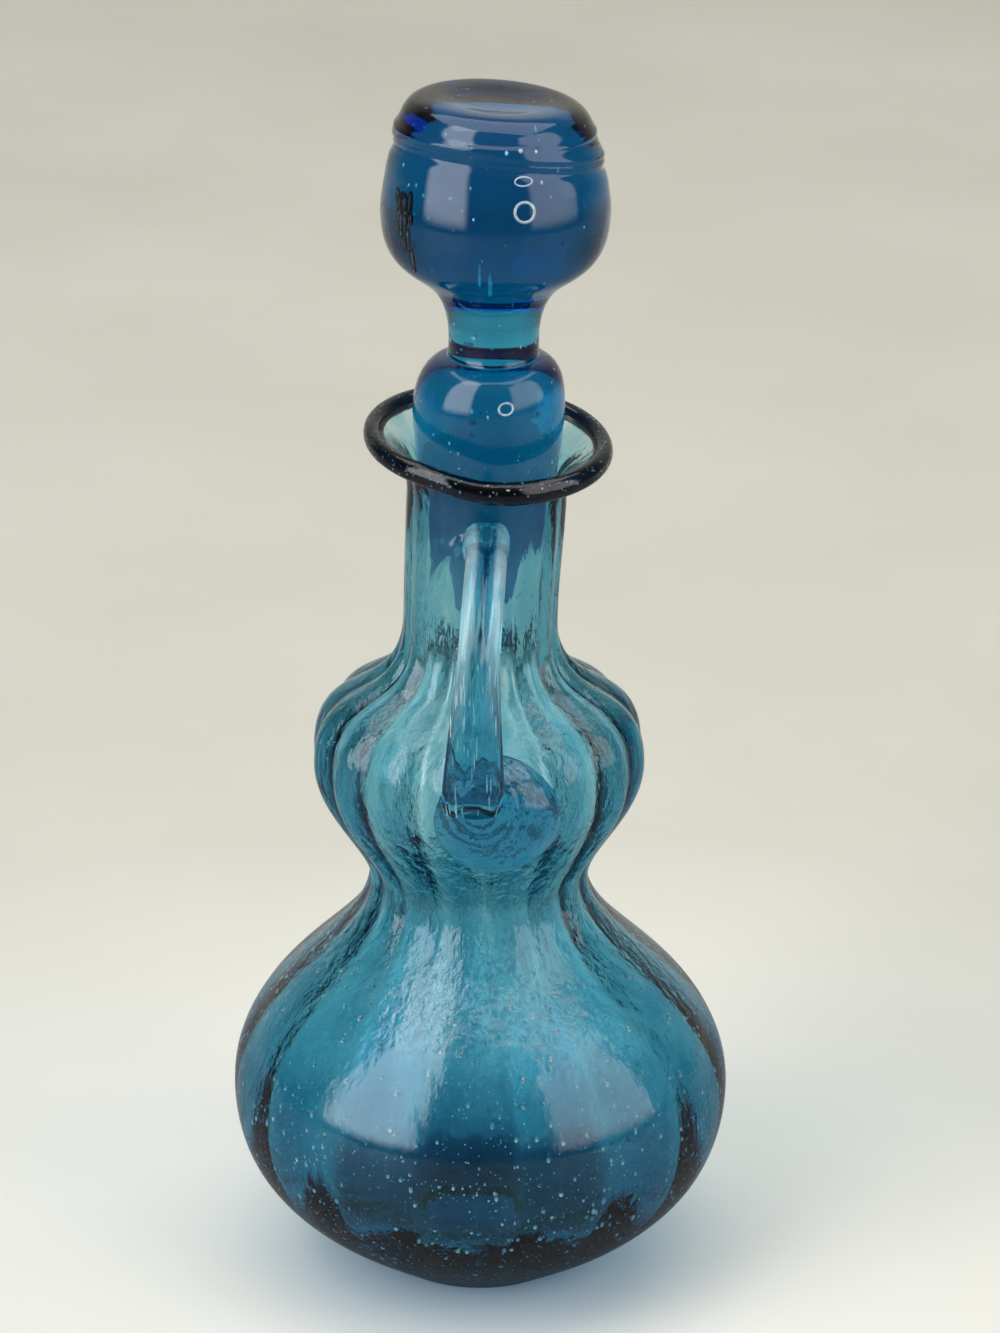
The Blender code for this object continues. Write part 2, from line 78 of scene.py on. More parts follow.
FLOOR_FULL = (0.6, 0.25)
RIM_ROUND = 0.4

LOWER_BULB_Z = HEEL_H
WAIST_Z = LOWER_BULB_Z + LOWER_SHOULDER_H
UPPER_BULB_Z = WAIST_Z + UPPER_BELLY_H
NECK_FOOT_Z = UPPER_BULB_Z + UPPER_SHOULDER_H
THROAT_Z = NECK_FOOT_Z + NECK_H
RIM_Z = THROAT_Z + FLARE_H
INNER_HEEL_Z = HEEL_H / 3

UP = np.array((0.0, 1.0))
OUT = np.array((1.0, 0.0))
UP_3D = np.array((0.0, 0.0, 1.0))

# The crests from foot to rim: the ends of each stretch, the way there, and each stretch's fullness
CREST_STOPS = np.array((
    (FOOT_R, 0.0),
    (LOWER_BULB_R, LOWER_BULB_Z),
    (WAIST_R, WAIST_Z),
    (UPPER_BULB_R, UPPER_BULB_Z),
    (NECK_FOOT_R, NECK_FOOT_Z),
    (NECK_TOP_R, THROAT_Z),
    (RIM_R, RIM_Z),
))
HEEL_WAY = np.array((math.cos(HEEL_ANGLE), math.sin(HEEL_ANGLE)))
FLARE_WAY = np.array((math.cos(FLARE_ANGLE), math.sin(FLARE_ANGLE)))
CREST_WAYS = (HEEL_WAY, UP, UP, UP, UP, UP, FLARE_WAY)
CREST_FULL = (
    (0.44, 0.545),
    (0.50, 0.32),
    (0.245, 0.43),
    (0.64, 0.66),
    (0.33, 0.33),
    (0.62, 0.30),
)

# Ribs, and what the hand adds to them: each groove's own place and depth, and uneven walls
RIBS = 16
WAIST_RIB = 0.9 * MM
UPPER_RIB = 2.0 * MM
NECK_RIB = 0.35 * MM
BELLY_RIB = 0.08 * MM
SHOULDER_RIB = 0.15 * MM
SHOULDER_RIB_Z = 79.0 * MM
INNER_HEEL_RIB = 1.0 * MM
INNER_BELLY_RIB = 0.8 * MM
INNER_WAIST_RIB = 0.5 * MM
INNER_UPPER_RIB = 0.25 * MM
LOWER_TURN = math.radians(9.0)
UPPER_TURN = math.radians(2.0)
GROOVE_ROUND = 0.16
RIB_DRIFT = math.radians(1.3)
RIB_UNEVEN = 0.22
SKIN_UNEVEN = 0.18 * MM
WALL_UNEVEN = 0.30 * MM
NECK_WANDER = -1.3 * MM
GLOBE_WANDER = 1.0 * MM
EVEN_END_H = 12.0 * MM
DRIFT_CLIMB = 0.4
OWN_DEPTH_TURN_H = 60.0 * MM
HAND_RISE = 38.0 * MM
# Each wave of the unevenness: its share, waves all round, turn with the rise
HAND_WAVES = ((0.5, 2, 1.3), (0.3, 3, -2.1), (0.2, 5, 3.7))
# Where the waves start on the outside, the inside, the ribs and the stopper
SKIN_PHASE = 0.3
WALL_PHASE = 2.1
DRIFT_PHASE = 0.7
STOPPER_PHASE = 1.7

# Lip, gob and handle
GAP = 0.3 * MM
LIP_H = 5.0 * MM
LIP_RISE_BACK = 0.095
LIP_RISE_RIGHT = -0.068
LIP_LAP_AZ = math.radians(-14.0)
LIP_LAP_SPREAD = math.radians(16.0)
LIP_LAP_RISE = 0.9 * MM
LIP_INNER_R = 24.3 * MM
LIP_OUTER_R = 28.6 * MM
LIP_FRONT_MORE = 0.10
LIP_WAVES = ((0.04, 3, 0.5), (0.02, 7, 0.0))
LIP_SHARE = 0.95
GOB_R = 14.4 * MM
GOB_T = 5.0 * MM
GOB_EDGE_T = 1.0 * MM
GOB_DOME = (4, 0.7)
PRESSED_FROM = 0.7
PRESSED_FADE = 0.4
GOB_AZ = math.radians(7.0)
GOB_Z = UPPER_BULB_Z - 0.5 * MM
GOB_WHORL_H = 0.012 * MM
WHORL_AZ = math.radians(1.0)
WHORL_Z = GOB_Z + 3.0 * MM
GOB_WHORLS = 4
STRAP_REACH = 50.0 * MM
STRAP_TOP_DROP = 6.0 * MM
STRAP_FOOT_RISE = 6.0 * MM
STRAP_TOP_X = 0.8 * MM
STRAP_FOOT_X = -1.2 * MM
STRAP_TOP_W = 9.4 * MM
STRAP_TOP_T = 5.0 * MM
STRAP_FOOT_W = 14.6 * MM
STRAP_FOOT_T = 6.6 * MM
STRAP_GROOVE = 0.68
STRAP_GROOVE_W = 0.28
STRAP_GROOVE_END = (0.35, 0.7)
STRAP_SQUARE = (0.85, 0.75)
STRAP_WIDEN_FROM = 0.4
STRAP_TOP_FULL = 0.45
STRAP_TOP_LIFT = 3.0 * MM
STRAP_SHOULDER_DROP = 1.0 * MM
STRAP_BEND_RISE = 6.0 * MM
STRAP_TURN_H = 10.0 * MM
STRAP_TURN_PULL = 2.0 * MM
STRAP_FOOT_PULL = 3.5 * MM
STRAP_REED_H = 0.08 * MM
STRAP_REEDS = 9
STRAP_REED_FROM = 0.4
STRAP_REED_RISE = 3.0
SEAL_W = 10.8 * MM
SEAL_H = 12.0 * MM
SEAL_X = 0.4 * MM
SEAL_FADE = 8.0 * MM
FOOT_ROUND_L = 11.0 * MM
FOOT_END_W = 0.45
FOOT_ROUND_FULL = 2.5
SMEAR_FROM = (math.radians(-10.0), 190.0 * MM)
SMEAR_TO = (math.radians(-46.0), 171.0 * MM)
SMEAR_W = 1.1 * MM
SMEAR_H = 1.0 * MM
SMEAR_THIN = 0.7
# How much of the channel in the strap the seal and the lower half fill up
SEAL_FILL = 0.85
GROOVE_END_FILL = 0.8

# Stopper
PLUG_H = 32.0 * MM
PLUG_TIP_R = 5.0 * MM
PLUG_PULL = 8.0 * MM
PLUG_SLOPE = 0.2
COLLAR_R = 17.4 * MM
COLLAR_H = 20.5 * MM
COLLAR_FULL = 0.2
DOME_H = 12.8 * MM
DOME_FULL = 0.62
DOME_TOP_WAY = np.array((0.45, -0.06))
STEM_R = 10.3 * MM
STEM_H = 3.5 * MM
STEM_RING = 0.35 * MM
STEM_RING_H = 1.0 * MM
GLOBE_R = 25.9 * MM
GLOBE_UNDER_H = 31.0 * MM
GLOBE_OVER_H = 20.0 * MM
GLOBE_UNDER_FULL = (0.66, 0.64)
GLOBE_OVER_FULL = 0.24
CROWN_R = 21.8 * MM
CROWN_H = 5.2 * MM
CROWN_WAY = np.array((-0.3, 1.0))
CROWN_FULL = 0.6
RIDGE_R = 15.6 * MM
DISH_DEPTH = 1.3 * MM
DISH_FULL = (0.35, 0.6)
TOP_RISE_LEFT = 0.058
STOPPER_UNEVEN = 0.12 * MM
STOPPER_UNEVEN_H = 20.0 * MM
STOPPER_EVEN_R = 8.0 * MM
# Each fold round the globe: degrees to the side that it sways up to; in mm its height over the
# equator, sway, how far it stands out, width
FOLDS = (
    (-30.0, 12.2, 3.5, -0.55, 1.0),
    (-30.0, 15.4, 3.5, 0.65, 2.0),
    (-25.0, 14.2, 3.2, -0.30, 0.55),
    (-30.0, 8.4, 3.0, 0.10, 2.2),
    (60.0, 19.2, 0.5, 0.35, 0.8),
)
FOLD_FADE_BACK = 0.6

# Trapped air. Each group of seeds in the wall: how many, lowest, highest, largest radius
AIR_CHANCE = 7
SEED_R = 0.15 * MM
WALL_SEEDS = (
    (5000, 6.0 * MM, 84.0 * MM, 0.65 * MM),
    (300, 80.0 * MM, 190.0 * MM, 0.4 * MM),
)
SEED_FINENESS = 6
SEED_DEPTHS = (0.2, 0.5)
SEED_COVER = 1.3
SEED_TALLER = 0.8
FLAT_SEED_Z = 26.0 * MM
LIP_SEEDS = 260
LIP_SEED_ANGLES = (-0.3, 1.9)
LIP_SEED_R_MM = (0.12, 0.24)
LIP_SEED_DEPTH = 0.35 * MM
LIP_SEED_SHARE = 0.9
NEEDLES = 46
NEEDLE_ALONG = (0.5, 0.9)
NEEDLE_ACROSS = 0.38
NEEDLE_DEPTHS = (0.2, 0.3)
NEEDLE_R_MM = (0.08, 0.17)
NEEDLE_TALL = (6.0, 24.0)
STOPPER_SEEDS = 220
STOPPER_SEED_R_MM = (0.12, 0.34)
STOPPER_SEED_COVER = 1.0 * MM
STOPPER_SEED_TOP_COVER = 4.0 * MM
STOPPER_SEED_OUT = (0.5, 1.0)
# Each bubble of its own in the stopper: middle in mm, radius in mm, how much taller than wide
STOPPER_AIR = (
    ((0.2, -12.0, 252.0), 0.45, 6.0),
    ((-1.8, -13.0, 254.0), 0.3, 7.0),
    ((3.2, -21.0, 281.4), 0.4, 1.0),
    ((6.2, -20.4, 281.7), 0.5, 1.0),
    ((9.5, -19.3, 281.3), 0.35, 1.0),
)
# The tear at the left of the globe, in heights over the seat
TEAR_CHANCE = 3
TEAR_VOIDS = 44
TEAR_Z = (60.0 * MM, 74.0 * MM)
TEAR_AZ = (math.radians(-49.0), math.radians(3.0))
TEAR_LEAN = math.radians(-8.0) / (14.0 * MM)
TEAR_DEPTH_MM = (1.0, 2.2)
TEAR_R_MM = (0.3, 0.95)
TEAR_TALL = (2.0, 4.5)
RIM_DEPTH = 0.45 * MM
# Each pale ring painted as the highlight at the rim of a wide bubble: its azimuth in degrees; in mm
# its height over the seat, radius across and up, thickness
STOPPER_RIMS = (
    (15.0, 74.0, 2.2, 2.2, 0.35),
    (15.0, 80.6, 1.95, 1.0, 0.2),
    (12.8, 25.8, 1.6, 1.35, 0.28),
)

# Fineness of the meshes
SIDES = RIBS * 16
OUTER_STEPS = (34, 36, 30, 40, 44, 16)
INNER_STEPS = (22, 24, 22, 28, 8, 10)
PUNT_STEPS = 10
FLOOR_STEPS = 16
SMEAR_STEPS = 25
STOPPER_SIDES = 144
STOPPER_STEPS = (36, 16, 22, 46, 60, 20, 16)
LIP_SIDES = 192
LIP_SECTION_SIDES = 24
GOB_SIDES = 96
GOB_FIRST_RING = 0.04
GOB_BACK_RINGS = 24
GOB_FACE_RINGS = 48
STRAP_SIDES = 56
STRAP_STEPS = (56, 24, 24)
STRAP_END_RINGS = 8
STRAP_END_FIRST = 0.1
SEATING_ROUNDS = 6
BUBBLE_SHAPE = (8, 5)
SEED_SHAPE = (6, 3)
RIM_SIDES = 48
RIM_TUBE_SIDES = 10

# Glass: tint of clear glass, tint of its streaks, colour in depth, density of that colour,
# strength of the relief, stretch of streaks and ripples, strength of the fine marks
WHITE = (1.0, 1.0, 1.0)
TEAL = (0.0, 0.62, 0.747)
UPRIGHT = (1.0, 1.0, 0.16)
EVEN = (1.0, 1.0, 1.0)
VESSEL_GLASS = (WHITE, (0.62, 0.82, 0.88), TEAL, 400.0, 0.40, UPRIGHT, 2.3)
LIP_GLASS = ((0.9, 0.95, 1.0), (0.5, 0.6, 0.7), (0.0, 0.42, 0.58), 1700.0, 0.3, EVEN, 0.0)
GOB_GLASS = (WHITE, (0.8, 0.92, 1.0), (0.0, 0.665, 0.83), 260.0, 0.2, EVEN, 0.0)
STRAP_GLASS = ((0.76, 1.0, 1.0), (0.50, 0.84, 0.90), TEAL, 290.0, 0.15, UPRIGHT, 0.0)
STOPPER_GLASS = (WHITE, (0.8, 0.9, 0.96), (0.0, 0.715, 0.85), 165.0, 0.12, EVEN, 0.12)
GLASS_IOR = 1.5
GLASS_ROUGH = 0.02
CORD_NOISE = (130.0, 4.0)
CORD_SPAN = (0.36, 0.58)
RIPPLE_NOISE = (110.0, 4.0)
RELIEF_H = 0.6 * MM

# Fine marks: few on the belly, most over it, and calmer on the neck
MARK_NOISE = (420.0, 3.0, (1.0, 1.0, 0.35))
MARK_LEAST = 0.12
MARK_FROM_Z = 62.0 * MM
MARK_FULL_Z = 92.0 * MM
CALM_FROM_Z = 138.0 * MM
CALM_FULL_Z = 156.0 * MM
NECK_RELIEF = 0.32

# The gob's rings, the ground plug and the painted highlights on the lobes at the top of the strap
WHORL_WAVES = {"Scale": 150.0, "Distortion": 4.0, "Detail": 2.0, "Detail Scale": 0.8}
WHORL_STRENGTH = 0.6
GROUND_Z = THROAT_Z + 1.0 * MM
GROUND_FADE = 4.0 * MM
GROUND_ROUGH = 0.32
LOBE_FROM = 0.25
LOBE_FADE = 0.25
LOBE_END = (0.4, 0.75)
LOBE_SEAL_FADE = 0.5
LOBE_HIGHLIGHT_CLEAR = 0.72

# Air: two tints of a bubble's wall, blended by a fine noise. The pale tints of the seeds and of the
# wide bubbles' rims are painted: a painted reflection of the light that turns round in air
PAINTED_PALE_AIR_TINTS = ((0.50, 0.62, 0.67), (0.82, 0.90, 0.93))
TEAR_TINTS = ((0.002, 0.004, 0.006), (0.004, 0.02, 0.04))
RIM_HIGHLIGHT_TINTS = ((0.45, 0.52, 0.60), (0.66, 0.72, 0.78))
AIR_NOISE = (900.0, 2.0)
AIR_SPAN = (0.4, 0.6)
AIR_ROUGH = 0.25
AIR_CLEAR = 0.3

# Camera: where the photo was taken from, worked out from the bottle's outline
CAMERA_AT = Vector((0.0034, -1.0, 0.560))
CAMERA_TO = Vector((0.0034, 0.0, 0.1518))
CAMERA_ROLL = math.radians(0.8)
CAMERA_LENS_MM = 125.13
CAMERA_SENSOR_MM = 36.0
CAMERA_CLIP = (0.05, 20.0)

# Stage: its shape, its two tints, and how far from the foot the backdrop's takes over. The two tints
# are painted light: paler by the bottle, where its shadow falls, and darker away from it, where the
# lamps light the stage more
STAGE_HALF_W = 4.0
STAGE_FRONT = -3.0
STAGE_BACK = 1.4
STAGE_TOP = 3.2
STAGE_TURN_R = 0.6
STAGE_TURN_STEPS = 24
STAGE_ROUGH = 0.55
FLOOR_TINTS = ((0.72, 0.71, 0.645), (0.79, 0.785, 0.73))
BACKDROP_TINTS = ((0.515, 0.50, 0.428), (0.572, 0.556, 0.48))
CLOUD_NOISE = (5.0, 4.0)
CLOUD_SPAN = (0.3, 0.7)
BACKDROP_FROM = (0.03, 0.25)

# In reflections the stage is as dim as a room, but for its part behind the bottle
STAGE_MIRRORED = (0.19, 0.19, 0.18)
MIRRORED_Y = (0.8, 0.15)

# Light. Each window: azimuth, foot, head, width, power, colour
WINDOWS = {
    "window_left": (math.radians(-51.0), 0.04, 3.5, 1.56, 74.0, (0.93, 0.95, 1.0)),
    "window_right": (math.radians(62.0), 0.04, 2.2, 1.87, 29.0, (1.0, 0.98, 0.95)),
}
WINDOW_AWAY = 1.6
WINDOW_FADE = 0.26
OVERHEAD_AT = Vector((0.0, 0.1, 2.2))
OVERHEAD_SIZE = (3.0, 2.2)
OVERHEAD_POWER = 40.0

# The room: dim as a lamp and in reflections, pale as seen past and through the glass
ROOM_DIM = (0.085, 0.09, 0.095)
ROOM_CEILING = (0.25, 0.27, 0.30)
ROOM_PALE = (0.56, 0.55, 0.48)
CEILING_FROM = (0.5, 0.9)


def ease(t):
    """Rise smoothly from 0 to 1, and stay there outside that span."""
    t = np.clip(t, 0.0, 1.0)
    return t * t * (3.0 - 2.0 * t)


def ease_between(value, start, end):
    """Rise smoothly from 0 at the start to 1 at the end."""
    return ease((value - start) / (end - start))


def full_turn(count):
    """Angles in equal steps all round."""
    return np.linspace(0.0, math.tau, count, endpoint=False)


def ways(line):
    """The unit direction of a line at each of its points."""
    way = np.gradient(line, axis=0)
    return way / np.linalg.norm(way, axis=1)[:, None]


def blend(z, stops):
    """The value at each height, eased between (height, value) stops."""
    z = np.asarray(z, dtype=float)
    value = np.full(z.shape, float(stops[-1][1]))
    for (low, before), (high, after) in reversed(list(zip(stops, stops[1:]))):
        share = ease_between(z, low, high)
        value = np.where(z <= high, before + (after - before) * share, value)
    return value


def cubic(start, start_pull, end_pull, end, steps):
    """Points along one cubic curve, from its start to just before its end."""
    t = (np.arange(steps) / steps)[:, None]
    s = 1.0 - t
    near = s ** 3 * start + 3 * s * s * t * start_pull
    far = 3 * s * t * t * end_pull + t ** 3 * end
    return near + far


def curve(start, leaving, arriving, end, steps):
    """A cubic curve that leaves its start and reaches its end as two vectors point."""
    return cubic(start, start + leaving, end - arriving, end, steps)


def at(azimuth, radius, z):
    """Points at these azimuths, radii and heights."""
    azimuth, radius, z = np.broadcast_arrays(azimuth, radius, z)
    return np.stack([radius * np.sin(azimuth), -radius * np.cos(azimuth), z], axis=-1)


def turn_from(start, azimuth):
    """The turn from one azimuth to another, at most half way round to either side."""
    return (azimuth - start + math.pi) % math.tau - math.pi


def by_hand(azimuth, z, phase):
    """Unevenness of hand-worked glass, from -1 to 1, smooth all round."""
    value = 0.0
    for number, (share, turns, climb) in enumerate(HAND_WAVES, 1):
        value = value + share * np.sin(turns * azimuth + climb * (z / HAND_RISE) + number * phase)
    return value


def rib_depth(z):
    """How deep the grooves between the ribs are at each height."""
    return blend(z, [
        (0.0, 0.0),
        (LOWER_BULB_Z, BELLY_RIB),
        (SHOULDER_RIB_Z, SHOULDER_RIB),
        (WAIST_Z, WAIST_RIB),
        (UPPER_BULB_Z, UPPER_RIB),
        ((UPPER_BULB_Z + NECK_FOOT_Z) / 2, UPPER_RIB),
        (NECK_FOOT_Z, NECK_RIB),
        (THROAT_Z, NECK_RIB),
        (RIM_Z, 0.0),
    ])


def inner_rib_depth(z):
    """How deep the grooves inside are: blowing smooths the belly's outside more than its inside."""
    return blend(z, [
        (0.0, 0.0),
        (INNER_HEEL_Z, INNER_HEEL_RIB),
        (LOWER_BULB_Z, INNER_BELLY_RIB),
        (WAIST_Z, INNER_WAIST_RIB),
        (UPPER_BULB_Z, INNER_UPPER_RIB),
        (NECK_FOOT_Z, 0.0),
    ])


def rib_turn(z):
    """The azimuth of a groove: the ribs turn a little where the waist was drawn in."""
    return blend(z, [(LOWER_BULB_Z, LOWER_TURN), (UPPER_BULB_Z, UPPER_TURN)])


def groove(angle):
    """1 in the bottom of a groove and 0 on the crest of a rib, with a soft bottom."""
    side = np.sqrt(np.sin(RIBS * angle / 2) ** 2 + GROOVE_ROUND ** 2)
    crest = math.hypot(1.0, GROOVE_ROUND)
    return (crest - side) / (crest - GROOVE_ROUND)


def wall(z):
    """Thickness of the glass at each height."""
    return blend(z, [
        (0.0, HEEL_T),
        (LOWER_BULB_Z, LOWER_WALL_T),
        (WAIST_Z, WAIST_WALL_T),
        (UPPER_BULB_Z, UPPER_WALL_T),
        (NECK_FOOT_Z, NECK_WALL_T),
        ((NECK_FOOT_Z + THROAT_Z) / 2, NECK_WALL_T),
        (THROAT_Z, NECK_TOP_R - BORE_R),
        (RIM_Z, RIM_T),
    ])


def crest_outline(steps):
    """(radius, height) of the rib crests, from the foot's outer edge up to the rim."""
    parts = []
    for i, (full, count) in enumerate(zip(CREST_FULL, steps)):
        start, end = CREST_STOPS[i:i + 2]
        height = end[1] - start[1]
        leaving = CREST_WAYS[i] * full[0] * height
        arriving = CREST_WAYS[i + 1] * full[1] * height
        parts.append(curve(start, leaving, arriving, end, count))
    return np.concatenate(parts + [CREST_STOPS[-1:]])


CREST = crest_outline(OUTER_STEPS)


def crest_radius(z):
    """Radius over the rib crests at each height."""
    return np.interp(z, CREST[:, 1], CREST[:, 0])


def crest_slope(z):
    """How fast the radius over the rib crests grows with height."""
    return (crest_radius(z + MM) - crest_radius(z - MM)) / (2 * MM)


def wandered(points, base_z=0.0):
    """The points, moved sideways as far as the hand-worked axis wanders at their height."""
    shift = blend(points[..., 2] + base_z, [
        (LOWER_BULB_Z, 0.0),
        (UPPER_BULB_Z, NECK_WANDER),
        (NECK_FOOT_Z, NECK_WANDER),
        (RIM_Z, 0.0),
        (THROAT_Z + COLLAR_H, 0.0),
        (THROAT_Z + COLLAR_H + DOME_H + STEM_H, GLOBE_WANDER),
    ])
    moved = points.copy()
    moved[..., 0] += shift
    return moved


def rim_rise(points):
    """How far the hand-worked rim lies over or under its mean height."""
    return LIP_RISE_RIGHT * points[..., 0] + LIP_RISE_BACK * points[..., 1]


def tip_rim(points):
    """Tip the mouth: the rim dips towards the handle, and nothing below the throat moves."""
    share = ease_between(points[..., 2], THROAT_Z, RIM_Z)
    tipped = points.copy()
    tipped[..., 2] += share * rim_rise(points)
    return tipped


def pressed(azimuth, z):
    """1 where the hot gob flattened the ribs, fading to 0 round its edge."""
    distance = np.hypot(turn_from(GOB_AZ, azimuth) * UPPER_BULB_R, z - GOB_Z)
    return 1.0 - ease((distance / GOB_R - PRESSED_FROM) / PRESSED_FADE)


def smeared(azimuth, z):
    """How far the smear of the strap's glass stands out, from the seal round and down the neck."""
    height = 0.0
    for share in np.linspace(0.0, 1.0, SMEAR_STEPS):
        smear_az = SMEAR_FROM[0] + (SMEAR_TO[0] - SMEAR_FROM[0]) * share
        smear_z = SMEAR_FROM[1] + (SMEAR_TO[1] - SMEAR_FROM[1]) * share ** 2
        distance = np.hypot(turn_from(smear_az, azimuth) * NECK_TOP_R, z - smear_z)
        swell = SMEAR_H * (1.0 - SMEAR_THIN * share) * np.exp(-(distance / SMEAR_W) ** 2)
        height = np.maximum(height, swell)
    return height


def ribbed(outline, depth, uneven, phase, raised=None):
    """Rings of the vessel for (radius, height) points, ribbed as the mould and the hand left it."""
    radius, z = outline[:, :1], outline[:, 1:]
    angle = full_turn(SIDES)[None]
    azimuth = angle + rib_turn(z)
    drift = RIB_DRIFT * by_hand(angle, DRIFT_CLIMB * z, DRIFT_PHASE)
    own = RIB_UNEVEN * np.sin(5 * angle + 1.0) * np.cos(2 * angle + z / OWN_DEPTH_TURN_H)
    own_depth = depth[:, None] * (1.0 + own) * (1.0 - pressed(azimuth, z))
    side = radius - own_depth * groove(angle + drift)
    sway = uneven * by_hand(angle, z, phase)
    side = side + sway * ease(z / EVEN_END_H) * ease((RIM_Z - z) / EVEN_END_H)
    if raised is not None:
        side = side + raised(azimuth, z)
    return tip_rim(at(azimuth, side, z))


def new_piece(name, points, faces, material, body, pale=None):
    """One smooth object that rides on a body."""
    data = bpy.data.meshes.new(name)
    data.from_pydata(points, [], faces)
    data.update()
    data.shade_smooth()
    data.materials.append(material)
    if pale is not None:
        data.attributes.new("pale", "FLOAT", "POINT").data.foreach_set("value", pale)
    piece = bpy.data.objects.new(name, data)
    bpy.context.scene.collection.objects.link(piece)
    if body:
        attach(piece, body)
    return piece


def outward(points, faces):
    """The faces, turned round if the closed surface that they make is inside out."""
    points = np.array(points)
    volume = 0.0
    for size in (3, 4):
        picked = np.array([face for face in faces if len(face) == size], dtype=int)
        corners = points[picked.reshape(-1, size)]
        for k in range(1, size - 1):
            volume += np.einsum("ij,ij", corners[:, 0], np.cross(corners[:, k], corners[:, k + 1]))
    return faces if volume > 0.0 else [face[::-1] for face in faces]


def ring_faces(count, sides, joined):
    """Faces between rings of as many points each, with the last ring joined to the first or not."""
    low = np.arange(count if joined else count - 1)[:, None] * sides
    high = (low + sides) % (count * sides)
    here = np.arange(sides)[None]
    after = (here + 1) % sides
    corners = [low + here, low + after, high + after, high + here]
    return np.stack(corners, axis=-1).reshape(-1, 4).tolist()


def skin(name, rings, material, body, tips=None, pale=None):
    """A closed mesh through rings of as many points each, with a tip at both ends or joined up."""
    rings = np.asarray(rings)
    count, sides = rings.shape[:2]
    points = rings.reshape(-1, 3).tolist()
    faces = ring_faces(count, sides, tips is None)
    if tips is not None:
        points += [list(tips[0]), list(tips[1])]
        top = (count - 1) * sides
        for j in range(sides):
            k = (j + 1) % sides
            faces.append([k, j, count * sides])
            faces.append([top + j, top + k, count * sides + 1])
    if pale is not None:
        pale = np.append(np.ravel(pale), (0.0, 0.0))
    return new_piece(name, points, outward(points, faces), material, body, pale)


def make_vessel(material):
    """The blown bottle: two ribbed bulbs, a neck and a flared mouth, hollow and open at the top."""
    scar_edge = np.array((SCAR_R + SCAR_EDGE_W, PUNT_H))
    rest = np.array((FOOT_R - FOOT_RING_W, 0.0))
    span = rest[0] - scar_edge[0]
    leaving, arriving = (OUT * span * full for full in PUNT_FULL)
    hollow = curve(scar_edge, leaving, arriving, rest, PUNT_STEPS)
    under = np.concatenate([[(SCAR_R, PUNT_H - SCAR_H)], hollow, [rest]])
    outside = np.concatenate([under, CREST])
    depths = np.concatenate([np.zeros(len(under)), rib_depth(CREST[:, 1])])

    crest = crest_outline(INNER_STEPS)
    way = ways(crest)
    inside = crest + np.stack([-way[:, 1], way[:, 0]], axis=1) * wall(crest[:, 1])[:, None]
    inside = inside[crest[:, 1] >= INNER_HEEL_Z]
    slope = (inside[1] - inside[0]) / np.linalg.norm(inside[1] - inside[0])
    middle = np.array((0.0, PUNT_H + FLOOR_T))
    heel = inside[0]
    leaving = OUT * heel[0] * FLOOR_FULL[0]
    arriving = slope * heel[0] * FLOOR_FULL[1]
    floor = curve(middle, leaving, arriving, heel, FLOOR_STEPS)
    inside = np.concatenate([floor[1:], inside])[::-1]

    crown = ((CREST[-1] + inside[0]) / 2 + UP * RIM_ROUND * RIM_T)[None]
    rings = np.concatenate([
        ribbed(outside, depths, SKIN_UNEVEN, SKIN_PHASE, smeared),
        ribbed(crown, np.zeros(1), 0.0, 0.0),
        ribbed(inside, -inner_rib_depth(inside[:, 1]), WALL_UNEVEN, WALL_PHASE),
    ])
    tips = [(0.0, 0.0, PUNT_H - SCAR_H), (0.0, 0.0, PUNT_H + FLOOR_T)]
    piece = skin("vessel_glass", wandered(rings), material, "bottle", tips)
    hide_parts("vessel")


def make_lip(material):
    """The thick rolled lip on the tipped rim, a little uneven, with its end lapped in front."""
    azimuth = full_turn(LIP_SIDES)[:, None]
    angle = full_turn(LIP_SECTION_SIDES)[None]
    uneven = 1.0 + LIP_FRONT_MORE * np.cos(azimuth)
    for share, waves, phase in LIP_WAVES:
        uneven = uneven + share * np.sin(waves * azimuth + phase)
    from_lap = turn_from(LIP_LAP_AZ, azimuth)
    lap = LIP_LAP_RISE * np.tanh(from_lap / LIP_LAP_SPREAD)
    lap = lap * np.exp(-(from_lap / (3 * LIP_LAP_SPREAD)) ** 2)
    half_width = (LIP_OUTER_R - LIP_INNER_R) / 2
    radius = LIP_OUTER_R - half_width * (1.0 - np.cos(angle))
    points = at(azimuth, radius, RIM_Z + LIP_H / 2 * LIP_SHARE * uneven * np.sin(angle) - lap)
    points[..., 2] += rim_rise(points)
    piece = skin("lip_glass", wandered(points), material, "bottle")
    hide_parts("lip_wrap")


def seat_radius(azimuth, z):
    """Radius of a piece that lies on the vessel's outside."""
    depth = rib_depth(z) * groove(azimuth - rib_turn(z)) * (1.0 - pressed(azimuth, z))
    return crest_radius(z) - depth + GAP * np.hypot(1.0, crest_slope(z))


def gob_radius(azimuth, z):
    """Radius of the gob's face: a flat dome with a round edge and a whorl left by the twist."""
    distance = np.hypot((azimuth - GOB_AZ) * UPPER_BULB_R, z - GOB_Z)
    share = np.minimum(distance / GOB_R, 1.0)
    dome = (1.0 - share ** GOB_DOME[0]) ** GOB_DOME[1]
    thickness = GOB_EDGE_T + (GOB_T - GOB_EDGE_T) * dome
    turn = np.arctan2(z - GOB_Z, (azimuth - GOB_AZ) * UPPER_BULB_R)
    fade = 4 * share * (1.0 - share)
    whorl = GOB_WHORL_H * np.sin(math.tau * GOB_WHORLS * share - turn) * fade
    return crest_radius(z) + GAP + thickness + whorl


def gob_ring(share, radius_at):
    """One ring of the gob, at a share of its radius, on a surface that radius_at describes."""
    angle = full_turn(GOB_SIDES)
    azimuth = GOB_AZ + share * GOB_R * np.cos(angle) / UPPER_BULB_R
    z = GOB_Z + share * GOB_R * np.sin(angle)
    return at(azimuth, radius_at(azimuth, z), z)


